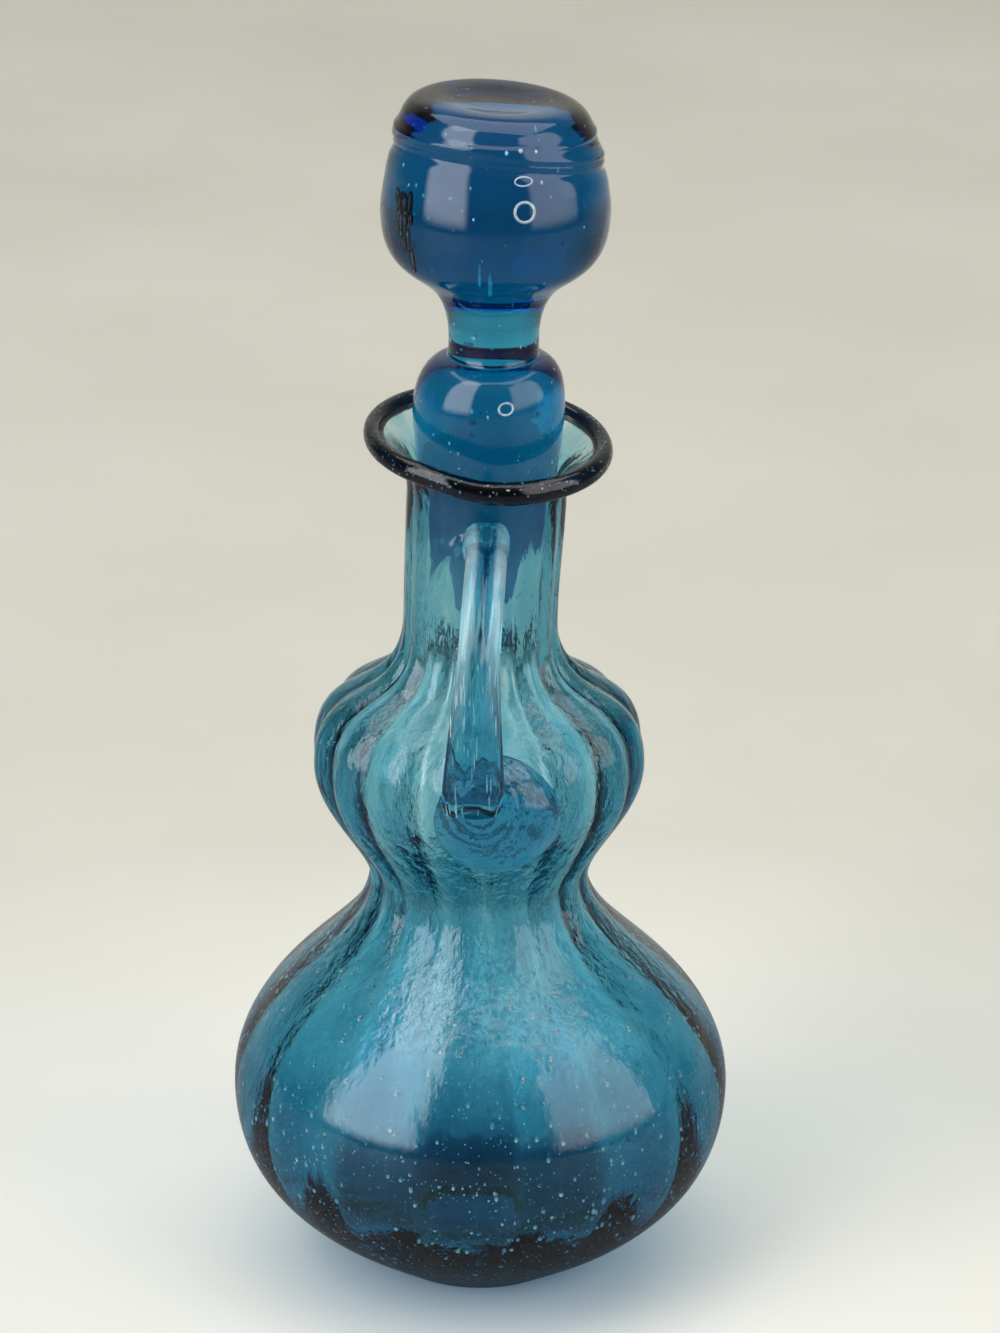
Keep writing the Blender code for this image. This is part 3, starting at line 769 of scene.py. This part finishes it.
def make_gob(material):
    """The round gob of glass, pressed on the ribs of the upper bulb."""
    shares = np.linspace(GOB_FIRST_RING, 1.0, GOB_BACK_RINGS)
    turns = np.linspace(math.pi / 2, GOB_FIRST_RING, GOB_FACE_RINGS)
    rings = [gob_ring(share, seat_radius) for share in shares]
    rings += [gob_ring(math.sin(turn), gob_radius) for turn in turns]
    radii = [radius_at(GOB_AZ, GOB_Z) for radius_at in (seat_radius, gob_radius)]
    tips = [wandered(at(GOB_AZ, radius, GOB_Z)) for radius in radii]
    rings = wandered(np.array(rings))
    piece = skin("gob_glass", rings, material, "bottle", tips)
    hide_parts("handle_gob")


def gob_seat_radius(azimuth, z):
    """Radius of a piece that lies on the gob's face."""
    return gob_radius(azimuth, z) + GAP


def seated(x, z, radius_at):
    """The points at x and z on the handle's side that lie on a seat."""
    radius = radius_at(0.0 * x, z)
    for _ in range(SEATING_ROUNDS):
        radius = radius_at(np.arcsin(x / radius), z)
    return np.stack([x, -np.sqrt(radius * radius - x * x), z], axis=-1)


def soft_corner(value, power):
    """A sine or cosine, squared off a little."""
    return np.copysign(np.abs(value) ** power, value)


def strap_route():
    """(distance from the axis, height) along the middle of the strap, from neck to gob."""
    top_z = THROAT_Z - STRAP_TOP_DROP
    foot_z = GOB_Z + STRAP_FOOT_RISE
    top = np.array((float(crest_radius(top_z)) + GAP, top_z))
    bend = np.array((STRAP_REACH, (top_z + foot_z) / 2 + STRAP_BEND_RISE))
    turn = np.array((STRAP_REACH, foot_z + STRAP_TURN_H))
    foot = np.array((float(gob_seat_radius(0.0, foot_z)), foot_z))
    top_pull = top + OUT * (STRAP_REACH - top[0]) * STRAP_TOP_FULL + UP * STRAP_TOP_LIFT
    shoulder = np.array((STRAP_REACH, top_z - STRAP_SHOULDER_DROP))
    turn_pull = np.array((STRAP_REACH, foot_z + STRAP_TURN_PULL))
    route = [
        cubic(top, top_pull, shoulder, bend, STRAP_STEPS[0]),
        cubic(bend, bend + (turn - bend) / 3, turn - (turn - bend) / 3, turn, STRAP_STEPS[1]),
        cubic(turn, turn_pull, foot + OUT * STRAP_FOOT_PULL, foot, STRAP_STEPS[2]),
        foot[None],
    ]
    return np.concatenate(route)


def make_strap(material):
    """The handle's strap: smeared on the neck, drawn out and down, and turned in to the gob."""
    route = strap_route()
    way = ways(route)
    steps = np.linalg.norm(np.diff(route, axis=0), axis=1)
    walked = np.concatenate([[0.0], np.cumsum(steps)])[:, None]
    length = walked[-1, 0]
    along = walked / length
    seal = 1.0 - ease(walked / SEAL_FADE)
    foot = 1.0 - np.clip((length - walked) / FOOT_ROUND_L, 0.0, 1.0)
    rounded = np.sqrt(1.0 - (1.0 - FOOT_END_W ** 2) * foot ** FOOT_ROUND_FULL)
    widened = ease_between(along, STRAP_WIDEN_FROM, 1.0)
    width = STRAP_TOP_W + (STRAP_FOOT_W - STRAP_TOP_W) * widened
    thickness = STRAP_TOP_T + (STRAP_FOOT_T - STRAP_TOP_T) * along
    width = (width + (SEAL_W - width) * seal) * rounded
    thickness = (thickness + (SEAL_H - thickness) * seal) * rounded
    x = STRAP_TOP_X + (STRAP_FOOT_X - STRAP_TOP_X) * along
    x = x + (SEAL_X - x) * seal
    plain = (1.0 - seal) * (1.0 - foot)

    angle = full_turn(STRAP_SIDES)[None]
    across = width / 2 * soft_corner(np.cos(angle), STRAP_SQUARE[0])
    channel = STRAP_GROOVE * (1.0 - SEAL_FILL * seal) * (1.0 - foot)
    channel = channel * (1.0 - GROOVE_END_FILL * ease_between(along, *STRAP_GROOVE_END))
    dent = 1.0 - channel * (np.sin(angle) > 0) * np.exp(-(np.cos(angle) / STRAP_GROOVE_W) ** 2)
    reeds = STRAP_REED_H * plain * np.cos(math.tau * STRAP_REEDS * across / width)
    reeds = reeds * ease(STRAP_REED_RISE * (along - STRAP_REED_FROM))
    out = thickness / 2 * soft_corner(np.sin(angle), STRAP_SQUARE[1]) * dent + reeds * np.sin(angle)
    distance = route[:, :1] - out * way[:, 1:]
    z = route[:, 1:] + out * way[:, :1]
    rings = np.stack([x + across, -distance, z], axis=-1)

    # Painted highlight: the lobes beside the channel are marked pale towards the top of the strap
    lobe = ease((np.abs(np.cos(angle)) - LOBE_FROM) / LOBE_FADE)
    pale = lobe * (1.0 - ease_between(along, *LOBE_END)) * (1.0 - LOBE_SEAL_FADE * seal)

    ends = []
    for ring, radius_at in ((rings[0], seat_radius), (rings[-1], gob_seat_radius)):
        middle = ring.mean(axis=0)
        shares = np.linspace(STRAP_END_FIRST, 1.0, STRAP_END_RINGS)[:, None, None]
        spread = middle + (ring - middle) * shares
        spread = seated(spread[..., 0], spread[..., 2], radius_at)
        ends.append((spread, seated(middle[0], middle[2], radius_at)))
    (neck_end, start), (foot_end, end) = ends
    rings = np.concatenate([neck_end, rings[1:-1], foot_end[::-1]])
    tips = [wandered(start), wandered(end)]
    clear = np.zeros((STRAP_END_RINGS, STRAP_SIDES))
    pale = np.concatenate([clear, pale[1:-1], clear])
    piece = skin("strap_glass", wandered(rings), material, "bottle", tips, pale)
    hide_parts("handle_strap")


def stopper_outline():
    """The stopper's (radius, height over its seat), and the heights of its equator and ridge."""
    seat = OUT * (BORE_R - GAP)
    tip = -UP * PLUG_H
    taper = np.array((PLUG_SLOPE, 1.0))
    collar = np.array((COLLAR_R, COLLAR_H))
    stem_foot = np.array((STEM_R, COLLAR_H + DOME_H))
    stem_top = stem_foot + UP * STEM_H
    globe = np.array((GLOBE_R, stem_top[1] + GLOBE_UNDER_H))
    crown = np.array((CROWN_R, globe[1] + GLOBE_OVER_H))
    ridge = np.array((RIDGE_R, crown[1] + CROWN_H))
    dish = UP * (ridge[1] - DISH_DEPTH)

    collar_pull = COLLAR_H * COLLAR_FULL
    under = UP * GLOBE_UNDER_H
    over_pull = GLOBE_OVER_H * GLOBE_OVER_FULL
    inward = -OUT * RIDGE_R
    stretches = [
        (tip, OUT * PLUG_TIP_R, taper * PLUG_PULL, seat),
        (seat, taper * collar_pull, UP * collar_pull, collar),
        (collar, UP * DOME_H * DOME_FULL, -DOME_TOP_WAY * STEM_R, stem_foot),
        (stem_top, under * GLOBE_UNDER_FULL[0], under * GLOBE_UNDER_FULL[1], globe),
        (globe, UP * over_pull, CROWN_WAY * over_pull, crown),
        (crown, CROWN_WAY * CROWN_H * CROWN_FULL, -OUT * CROWN_H * CROWN_FULL, ridge),
        (ridge, inward * DISH_FULL[0], inward * DISH_FULL[1], dish),
    ]
    parts = [curve(*stretch, steps) for stretch, steps in zip(stretches, STOPPER_STEPS)]
    stem_ring = [stem_foot + OUT * STEM_RING, stem_foot + UP * STEM_RING_H]
    points = np.concatenate([parts[0][1:], *parts[1:3], stem_ring, *parts[3:]])
    return points, globe[1], ridge[1]


STOPPER, GLOBE_Z, RIDGE_Z = stopper_outline()
STOPPER_SIDE = STOPPER[:np.argmax(STOPPER[:, 1])]


def stopper_radius(z):
    """Radius of the stopper at one height over its seat."""
    return float(np.interp(z, STOPPER_SIDE[:, 1], STOPPER_SIDE[:, 0]))


def seated_stopper(points):
    """The points, moved from heights over the seat to their place in the bottle."""
    return wandered(points, THROAT_Z) + UP_3D * THROAT_Z


def fold_height(azimuth, z):
    """How far the folds round the top of the globe stand out."""
    height = 0.0
    for toward, *sizes in FOLDS:
        rise, sway, out, spread = (size * MM for size in sizes)
        fold_z = GLOBE_Z + rise + sway * np.cos(azimuth - math.radians(toward))
        height = height + out * np.exp(-((z - fold_z) / spread) ** 2)
    return height * (1.0 - FOLD_FADE_BACK * ease(-np.cos(azimuth)))


def make_stopper(material):
    """The solid stopper with its folds, seated a gap inside the throat."""
    azimuth = full_turn(STOPPER_SIDES)[None]
    radius, z = STOPPER[:, :1], STOPPER[:, 1:]
    uneven = STOPPER_UNEVEN * by_hand(azimuth, z, STOPPER_PHASE)
    uneven = uneven * ease((z - COLLAR_H) / STOPPER_UNEVEN_H)
    side = radius + (fold_height(azimuth, z) + uneven) * ease(radius / STOPPER_EVEN_R)
    rings = at(azimuth, side, z)
    rings[..., 2] -= TOP_RISE_LEFT * rings[..., 0] * ease_between(z, GLOBE_Z, RIDGE_Z)
    rings = seated_stopper(rings)
    tips = [(0.0, 0.0, THROAT_Z - PLUG_H), (GLOBE_WANDER, 0.0, THROAT_Z + RIDGE_Z - DISH_DEPTH)]
    piece = skin("stopper_glass", rings, material, "stopper", tips)
    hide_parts("stopper")


def air_template(sides, rows):
    """Points and faces of one round bubble: its sides face outwards, and its two ends inwards."""
    turn = np.linspace(0.0, math.pi, rows + 2)[1:-1, None]
    angle = full_turn(sides)[None]
    radius = np.sin(turn)
    height = np.cos(turn) + 0 * angle
    ring = np.stack([radius * np.cos(angle), radius * np.sin(angle), height], axis=-1)
    points = np.concatenate([ring.reshape(-1, 3), [UP_3D, -UP_3D]])
    faces = [face[::-1] for face in ring_faces(rows, sides, False)]
    last = (rows - 1) * sides
    for j in range(sides):
        k = (j + 1) % sides
        faces.append([rows * sides, k, j])
        faces.append([rows * sides + 1, last + j, last + k])
    return points, faces


def make_air(name, bubbles, material, body, shape=BUBBLE_SHAPE):
    """Bubbles as one object. Each is (middle, radius, how much taller it is than wide)."""
    template, faces = air_template(*shape)
    points = []
    all_faces = []
    for middle, radius, tall in bubbles:
        shift = len(points)
        points += (template * np.array((radius, radius, radius * tall)) + middle).tolist()
        all_faces += [[shift + index for index in face] for face in faces]
    new_piece(name, points, all_faces, material, body)


def tear(count, chance):
    """Long dark voids side by side, low in the left of the globe: the one tear in the glass."""
    for _ in range(count):
        z = chance.uniform(*TEAR_Z)
        azimuth = chance.gauss(*TEAR_AZ) + (z - TEAR_Z[0]) * TEAR_LEAN
        radius = stopper_radius(z) - chance.uniform(*TEAR_DEPTH_MM) * MM
        middle = seated_stopper(at(azimuth, radius, z))
        yield middle, chance.uniform(*TEAR_R_MM) * MM, chance.uniform(*TEAR_TALL)


def make_rims(material):
    """Painted highlights: pale rings at the rims of the wide bubbles that lie flat just under the
    stopper's surface.
    """
    turn = full_turn(RIM_SIDES)[:, None]
    tube = full_turn(RIM_TUBE_SIDES)[None]
    ring_of_faces = ring_faces(RIM_SIDES, RIM_TUBE_SIDES, True)
    points = []
    faces = []
    for azimuth, *sizes in STOPPER_RIMS:
        azimuth = math.radians(azimuth)
        z, across, up, thickness = (size * MM for size in sizes)
        radius = stopper_radius(z)
        slope = (stopper_radius(z + MM) - radius) / MM
        out = np.array((math.sin(azimuth), -math.cos(azimuth), -slope)) / math.hypot(1.0, slope)
        side = np.array((math.cos(azimuth), math.sin(azimuth), 0.0))
        rise = np.cross(side, out)
        rise = rise if rise[2] > 0.0 else -rise
        wide = thickness * np.cos(tube)
        ring = at(azimuth, radius, z) - out * RIM_DEPTH
        ring = ring + (np.cos(turn) * (across + wide))[..., None] * side
        ring = ring + (np.sin(turn) * (up + wide))[..., None] * rise
        ring = ring + thickness * np.sin(tube)[..., None] * out
        shift = len(points)
        points += seated_stopper(ring).reshape(-1, 3).tolist()
        faces += [[shift + corner for corner in face] for face in ring_of_faces]
    new_piece("stopper_rim_highlights", points, outward(points, faces), material, "stopper")


def needles(count, chance):
    """Fine lines of air drawn out along the lower half of the strap."""
    route = strap_route()
    for _ in range(count):
        distance, z = route[int(chance.uniform(*NEEDLE_ALONG) * len(route))]
        x = STRAP_FOOT_X + chance.uniform(-NEEDLE_ACROSS, NEEDLE_ACROSS) * STRAP_FOOT_W
        y = -distance - chance.uniform(*NEEDLE_DEPTHS) * STRAP_FOOT_T
        middle = wandered(np.array((x, y, z)))
        yield middle, chance.uniform(*NEEDLE_R_MM) * MM, chance.uniform(*NEEDLE_TALL)


def lip_seeds(count, chance):
    """Specks of air in the roll of the lip, near its surface."""
    half_width = (LIP_OUTER_R - LIP_INNER_R) / 2 - LIP_SEED_DEPTH
    half_height = LIP_H / 2 * LIP_SEED_SHARE - LIP_SEED_DEPTH
    for _ in range(count):
        azimuth = chance.uniform(-math.pi, math.pi)
        angle = chance.uniform(*LIP_SEED_ANGLES)
        radius = (LIP_OUTER_R + LIP_INNER_R) / 2 + half_width * math.cos(angle)
        middle = at(azimuth, radius, RIM_Z + half_height * math.sin(angle))
        middle[2] += rim_rise(middle)
        yield wandered(middle), chance.uniform(*LIP_SEED_R_MM) * MM, 1.0


def stopper_seeds(count, chance):
    """Fine seeds all through the stopper."""
    for _ in range(count):
        z = chance.uniform(-PLUG_H / 2, RIDGE_Z - STOPPER_SEED_TOP_COVER)
        side = stopper_radius(z) - STOPPER_SEED_COVER
        azimuth = chance.uniform(-math.pi, math.pi)
        middle = seated_stopper(at(azimuth, side * chance.uniform(*STOPPER_SEED_OUT), z))
        yield middle, chance.uniform(*STOPPER_SEED_R_MM) * MM, 1.0 + chance.random()


def seeds(count, low, high, largest, chance):
    """Seed bubbles in the outer half of the vessel's wall, between two heights."""
    for _ in range(count):
        z = chance.uniform(low, high)
        azimuth = chance.uniform(-math.pi, math.pi)
        radius = SEED_R + (largest - SEED_R) * chance.random() ** SEED_FINENESS
        depth = max(chance.uniform(*SEED_DEPTHS) * float(wall(z)), SEED_COVER * radius)
        depth = depth * math.hypot(1.0, float(crest_slope(z)))
        side = float(crest_radius(z)) - 0.5 * float(rib_depth(z)) - depth
        tall = 1.0 + SEED_TALLER * chance.random() ** 2
        tall = 1.0 / (tall * tall) if z < FLAT_SEED_Z else tall
        yield wandered(at(azimuth, side, z)), radius, tall


def fill(tree, node, inputs):
    """Link inputs of a node, by name or number, from sockets, or set them to plain values."""
    for name, value in inputs.items():
        if isinstance(value, bpy.types.NodeSocket):
            tree.links.new(value, node.inputs[name])
        else:
            node.inputs[name].default_value = value


def add(tree, kind, inputs, operation=None):
    """A new shader node with its inputs filled."""
    node = tree.nodes.new("ShaderNode" + kind)
    if operation:
        node.operation = operation
    fill(tree, node, inputs)
    return node


def maths(tree, operation, *values):
    """The socket of an operation on sockets and numbers."""
    return add(tree, "Math", dict(enumerate(values)), operation).outputs["Value"]


def mapped(tree, value, start, end, low=0.0, high=1.0, curve="LINEAR"):
    """The socket of a value that goes from low to high between start and end, and stays there."""
    inputs = {"Value": value, "From Min": start, "From Max": end, "To Min": low, "To Max": high}
    node = add(tree, "MapRange", inputs)
    node.interpolation_type = curve
    return node.outputs["Result"]


def own_place(tree):
    """The socket of the object's own coordinates."""
    return tree.nodes.new("ShaderNodeTexCoord").outputs["Object"]


def one_axis(tree, place, axis):
    """The socket of one coordinate of a place."""
    return add(tree, "SeparateXYZ", {"Vector": place}).outputs[axis]


def noise(tree, scale, detail, stretch):
    """The socket of a noise in the object's own coordinates, stretched by scaling each axis."""
    mapping = add(tree, "Mapping", {"Vector": own_place(tree), "Scale": stretch})
    inputs = {"Vector": mapping.outputs["Vector"], "Scale": scale, "Detail": detail}
    return add(tree, "TexNoise", inputs).outputs["Fac"]


def ramp(tree, share, low, high, start, end):
    """The socket of a blend of two plain colours."""
    node = add(tree, "ValToRGB", {"Fac": share})
    for stop, place, colour in zip(node.color_ramp.elements, (start, end), (low, high)):
        stop.position = place
        stop.color = (*colour, 1.0)
    return node.outputs["Color"]


def blend_colours(tree, factor, before, after):
    """The socket of a blend of two colours, each a socket or a plain colour."""
    node = tree.nodes.new("ShaderNodeMix")
    node.data_type = "RGBA"
    tree.links.new(factor, node.inputs["Factor"])
    for socket, colour in ((node.inputs["A"], before), (node.inputs["B"], after)):
        if isinstance(colour, tuple):
            socket.default_value = (*colour, 1.0)
        else:
            tree.links.new(colour, socket)
    return node.outputs["Result"]


def principled(name):
    """A new node material and its shader."""
    material = bpy.data.materials.new(name)
    material.use_nodes = True
    return material, material.node_tree.nodes["Principled BSDF"]


def let_lamps_through(tree, shader):
    """Lamps and the room light what stands behind the glass, tinted by its depth."""
    path = tree.nodes.new("ShaderNodeLightPath").outputs
    either = maths(tree, "MAXIMUM", path["Is Shadow Ray"], path["Is Diffuse Ray"])
    clear = add(tree, "BsdfTransparent", {}).outputs["BSDF"]
    both = add(tree, "MixShader", {"Fac": either, 1: shader.outputs["BSDF"], 2: clear})
    fill(tree, tree.nodes["Material Output"], {"Surface": both.outputs["Shader"]})


def with_marks(tree, height, fine):
    """The height with the fine marks of the mould and the tools, most where they worked most."""
    if fine == 0.0:
        return height
    rise = one_axis(tree, own_place(tree), "Z")
    worked = mapped(tree, rise, MARK_FROM_Z, MARK_FULL_Z, MARK_LEAST * fine, fine)
    marked = maths(tree, "MULTIPLY_ADD", noise(tree, *MARK_NOISE), worked, height)
    calmer = mapped(tree, rise, CALM_FROM_Z, CALM_FULL_Z, 1.0, NECK_RELIEF)
    return maths(tree, "MULTIPLY", marked, calmer)


def glass(name, clear, streak, absorb, density, strength, stretch, fine):
    """Glass with its colour in depth, drawn-out cords and streaks, and a faintly uneven surface."""
    material, shader = principled(name)
    tree = material.node_tree
    tint = ramp(tree, noise(tree, *CORD_NOISE, stretch), streak, clear, *CORD_SPAN)
    height = with_marks(tree, noise(tree, *RIPPLE_NOISE, stretch), fine)
    relief = add(tree, "Bump", {"Strength": strength, "Distance": RELIEF_H, "Height": height})
    fill(tree, shader, {
        "Roughness": GLASS_ROUGH,
        "IOR": GLASS_IOR,
        "Transmission Weight": 1.0,
        "Base Color": tint,
        "Normal": relief.outputs["Normal"],
    })
    depth = add(tree, "VolumeAbsorption", {"Color": (*absorb, 1.0), "Density": density})
    fill(tree, tree.nodes["Material Output"], {"Volume": depth.outputs["Volume"]})
    let_lamps_through(tree, shader)
    return material


def whorled(material):
    """Fine rings in the gob's surface, from the twist that cut it off."""
    tree = material.node_tree
    relief = tree.nodes["Bump"]
    before = relief.inputs["Height"].links[0].from_socket
    middle = wandered(at(WHORL_AZ, UPPER_BULB_R, WHORL_Z))
    mapping = add(tree, "Mapping", {"Vector": own_place(tree), "Location": (-middle).tolist()})
    rings = add(tree, "TexWave", {"Vector": mapping.outputs["Vector"], **WHORL_WAVES})
    rings.wave_type = "RINGS"
    rings.rings_direction = "SPHERICAL"
    both = maths(tree, "MULTIPLY_ADD", rings.outputs["Fac"], WHORL_STRENGTH, before)
    fill(tree, relief, {"Height": both})


def ground(material):
    """The plug is ground to fit its throat, and matt there."""
    tree = material.node_tree
    rise = one_axis(tree, own_place(tree), "Z")
    matt = mapped(tree, rise, GROUND_Z + GROUND_FADE, GROUND_Z, GLASS_ROUGH, GROUND_ROUGH)
    fill(tree, tree.nodes["Principled BSDF"], {"Roughness": matt})


def painted_lobe_highlights(material):
    """Painted highlight: the glass turns partly diffuse, and so pale, where its mesh says that it is
    pale.
    """
    tree = material.node_tree
    share = tree.nodes.new("ShaderNodeAttribute")
    share.attribute_name = "pale"
    clearing = mapped(tree, share.outputs["Fac"], 0.0, 1.0, 1.0, LOBE_HIGHLIGHT_CLEAR)
    fill(tree, tree.nodes["Principled BSDF"], {"Transmission Weight": clearing})


def air(name, tints):
    """The wall of a bubble in the given tints, partly diffuse; pale tints are a painted reflection
    of the light that turns round in the air.
    """
    material, shader = principled(name)
    tree = material.node_tree
    fill(tree, shader, {
        "Roughness": AIR_ROUGH,
        "IOR": GLASS_IOR,
        "Transmission Weight": AIR_CLEAR,
        "Base Color": ramp(tree, noise(tree, *AIR_NOISE, EVEN), *tints, *AIR_SPAN),
    })
    return material


def stage_material():
    """Two soft tints, painted paler by the bottle where its shadow falls and darker away from it
    where the lamps light more, and dimmer in reflections.
    """
    material, shader = principled("pale_stage")
    tree = material.node_tree
    cloud = noise(tree, *CLOUD_NOISE, EVEN)
    floor = ramp(tree, cloud, *FLOOR_TINTS, *CLOUD_SPAN)
    backdrop = ramp(tree, cloud, *BACKDROP_TINTS, *CLOUD_SPAN)
    away = add(tree, "VectorMath", {0: own_place(tree)}, "LENGTH").outputs["Value"]
    # Painted light: the paler tint by the bottle makes up for its shadow, the darker one away from
    # it for the stronger lamplight there
    tint = blend_colours(tree, mapped(tree, away, *BACKDROP_FROM), floor, backdrop)
    front = mapped(tree, one_axis(tree, own_place(tree), "Y"), *MIRRORED_Y)
    path = tree.nodes.new("ShaderNodeLightPath").outputs
    dimmed = maths(tree, "MULTIPLY", path["Is Reflection Ray"], front)
    tint = blend_colours(tree, dimmed, tint, STAGE_MIRRORED)
    fill(tree, shader, {"Roughness": STAGE_ROUGH, "Base Color": tint})
    return material


def make_stage():
    """A pale floor that curves up into a backdrop behind the bottle."""
    profile = [(STAGE_FRONT, 0.0)]
    for i in range(STAGE_TURN_STEPS + 1):
        angle = math.pi / 2 * i / STAGE_TURN_STEPS
        y = STAGE_BACK + STAGE_TURN_R * math.sin(angle)
        profile.append((y, STAGE_TURN_R * (1.0 - math.cos(angle))))
    profile.append((STAGE_BACK + STAGE_TURN_R, STAGE_TOP))
    points = []
    for y, z in profile:
        points += [(-STAGE_HALF_W, y, z), (STAGE_HALF_W, y, z)]
    faces = [[2 * i, 2 * i + 1, 2 * i + 3, 2 * i + 2] for i in range(len(profile) - 1)]
    new_piece("stage", points, faces, stage_material(), None)


def fade_edges(data):
    """Light that fades towards the edges of its panel, as at a curtained window."""
    data.use_nodes = True
    tree = data.node_tree
    place = tree.nodes.new("ShaderNodeNewGeometry").outputs["Parametric"]
    middle = add(tree, "VectorMath", {0: place, 1: (0.5, 0.5, 0.0)}, "SUBTRACT")
    distance = add(tree, "VectorMath", {0: middle.outputs["Vector"]}, "ABSOLUTE")
    fades = []
    for axis, size in (("X", data.size), ("Y", data.size_y)):
        value = one_axis(tree, distance.outputs["Vector"], axis)
        fades.append(mapped(tree, value, 0.5, 0.5 - WINDOW_FADE / size, curve="SMOOTHSTEP"))
    fill(tree, tree.nodes["Emission"], {"Strength": maths(tree, "MULTIPLY", *fades)})


def put(name, data, place):
    """A lamp or camera in the scene, at a place given by a matrix."""
    thing = bpy.data.objects.new(name, data)
    thing.matrix_world = place
    bpy.context.scene.collection.objects.link(thing)
    return thing


def panel(name, width, height, power):
    """The light of a rectangular soft panel."""
    data = bpy.data.lights.new(name, "AREA")
    data.shape = "RECTANGLE"
    data.size = width
    data.size_y = height
    data.energy = power
    return data


def make_light():
    """Two tall soft windows beside the camera, and a soft panel overhead."""
    for name, (azimuth, low, high, width, power, colour) in WINDOWS.items():
        data = panel(name, width, high - low, power)
        data.color = colour
        fade_edges(data)
        place = Vector(at(azimuth, WINDOW_AWAY, (low + high) / 2).tolist())
        facing = Vector((place.x, place.y, 0.0)).to_track_quat("Z", "Y")
        put(name, data, Matrix.Translation(place) @ facing.to_matrix().to_4x4())
    data = panel("overhead", *OVERHEAD_SIZE, OVERHEAD_POWER)
    put("overhead", data, Matrix.Translation(OVERHEAD_AT))


def make_room():
    """The room round the stage, dimmer where it only lights and mirrors."""
    world = bpy.data.worlds.new("room")
    bpy.context.scene.world = world
    world.use_nodes = True
    tree = world.node_tree
    path = tree.nodes.new("ShaderNodeLightPath").outputs
    seen = maths(tree, "MAXIMUM", path["Is Camera Ray"], path["Is Transmission Ray"])
    way = tree.nodes.new("ShaderNodeTexCoord").outputs["Generated"]
    above = mapped(tree, one_axis(tree, way, "Z"), *CEILING_FROM)
    walls = blend_colours(tree, above, ROOM_DIM, ROOM_CEILING)
    room = blend_colours(tree, seen, walls, ROOM_PALE)
    fill(tree, tree.nodes["Background"], {"Color": room})


def make_camera():
    """The camera at the photograph's place, turned a little about its own axis."""
    data = bpy.data.cameras.new("photo_view")
    data.sensor_fit = "AUTO"
    data.sensor_width = CAMERA_SENSOR_MM
    data.lens = CAMERA_LENS_MM
    data.clip_start, data.clip_end = CAMERA_CLIP
    look = (CAMERA_TO - CAMERA_AT).to_track_quat("-Z", "Y").to_matrix().to_4x4()
    roll = Matrix.Rotation(CAMERA_ROLL, 4, "Z")
    camera = put("photo_view", data, Matrix.Translation(CAMERA_AT) @ look @ roll)
    bpy.context.scene.camera = camera
    bpy.context.scene.view_settings.view_transform = "Standard"


def make_glass():
    """The five finer skins of glass."""
    vessel = glass("vessel_glass", *VESSEL_GLASS)
    lip = glass("lip_glass", *LIP_GLASS)
    gob = glass("gob_glass", *GOB_GLASS)
    strap = glass("strap_glass", *STRAP_GLASS)
    stopper = glass("stopper_glass", *STOPPER_GLASS)
    # Painted highlight on the strap's lobes
    painted_lobe_highlights(strap)
    whorled(gob)
    ground(stopper)
    make_vessel(vessel)
    make_lip(lip)
    make_gob(gob)
    make_strap(strap)
    make_stopper(stopper)


def make_bubbles():
    """The six pieces of trapped air."""
    chance = random.Random(AIR_CHANCE)
    bubbles = []
    for count, low, high, largest in WALL_SEEDS:
        bubbles += seeds(count, low, high, largest, chance)
    # Painted reflection: the seeds and bubbles are painted pale
    pale_air = air("trapped_air", PAINTED_PALE_AIR_TINTS)
    make_air("seed_bubbles", bubbles, pale_air, "bottle", SEED_SHAPE)
    bubbles = lip_seeds(LIP_SEEDS, chance)
    make_air("lip_bubbles", bubbles, pale_air, "bottle")
    bubbles = needles(NEEDLES, chance)
    make_air("strap_needles", bubbles, pale_air, "bottle")
    bubbles = [(np.array(middle) * MM, radius * MM, tall) for middle, radius, tall in STOPPER_AIR]
    bubbles += stopper_seeds(STOPPER_SEEDS, chance)
    make_air("stopper_bubbles", bubbles, pale_air, "stopper")
    bubbles = tear(TEAR_VOIDS, random.Random(TEAR_CHANCE))
    make_air("stopper_tear", bubbles, air("dark_tear", TEAR_TINTS), "stopper")
    # Painted highlights at the rims of the wide bubbles
    make_rims(air("bubble_rim_highlights", RIM_HIGHLIGHT_TINTS))


def main():
    make_camera()
    make_stage()
    make_light()
    make_room()
    make_glass()
    make_bubbles()


main()
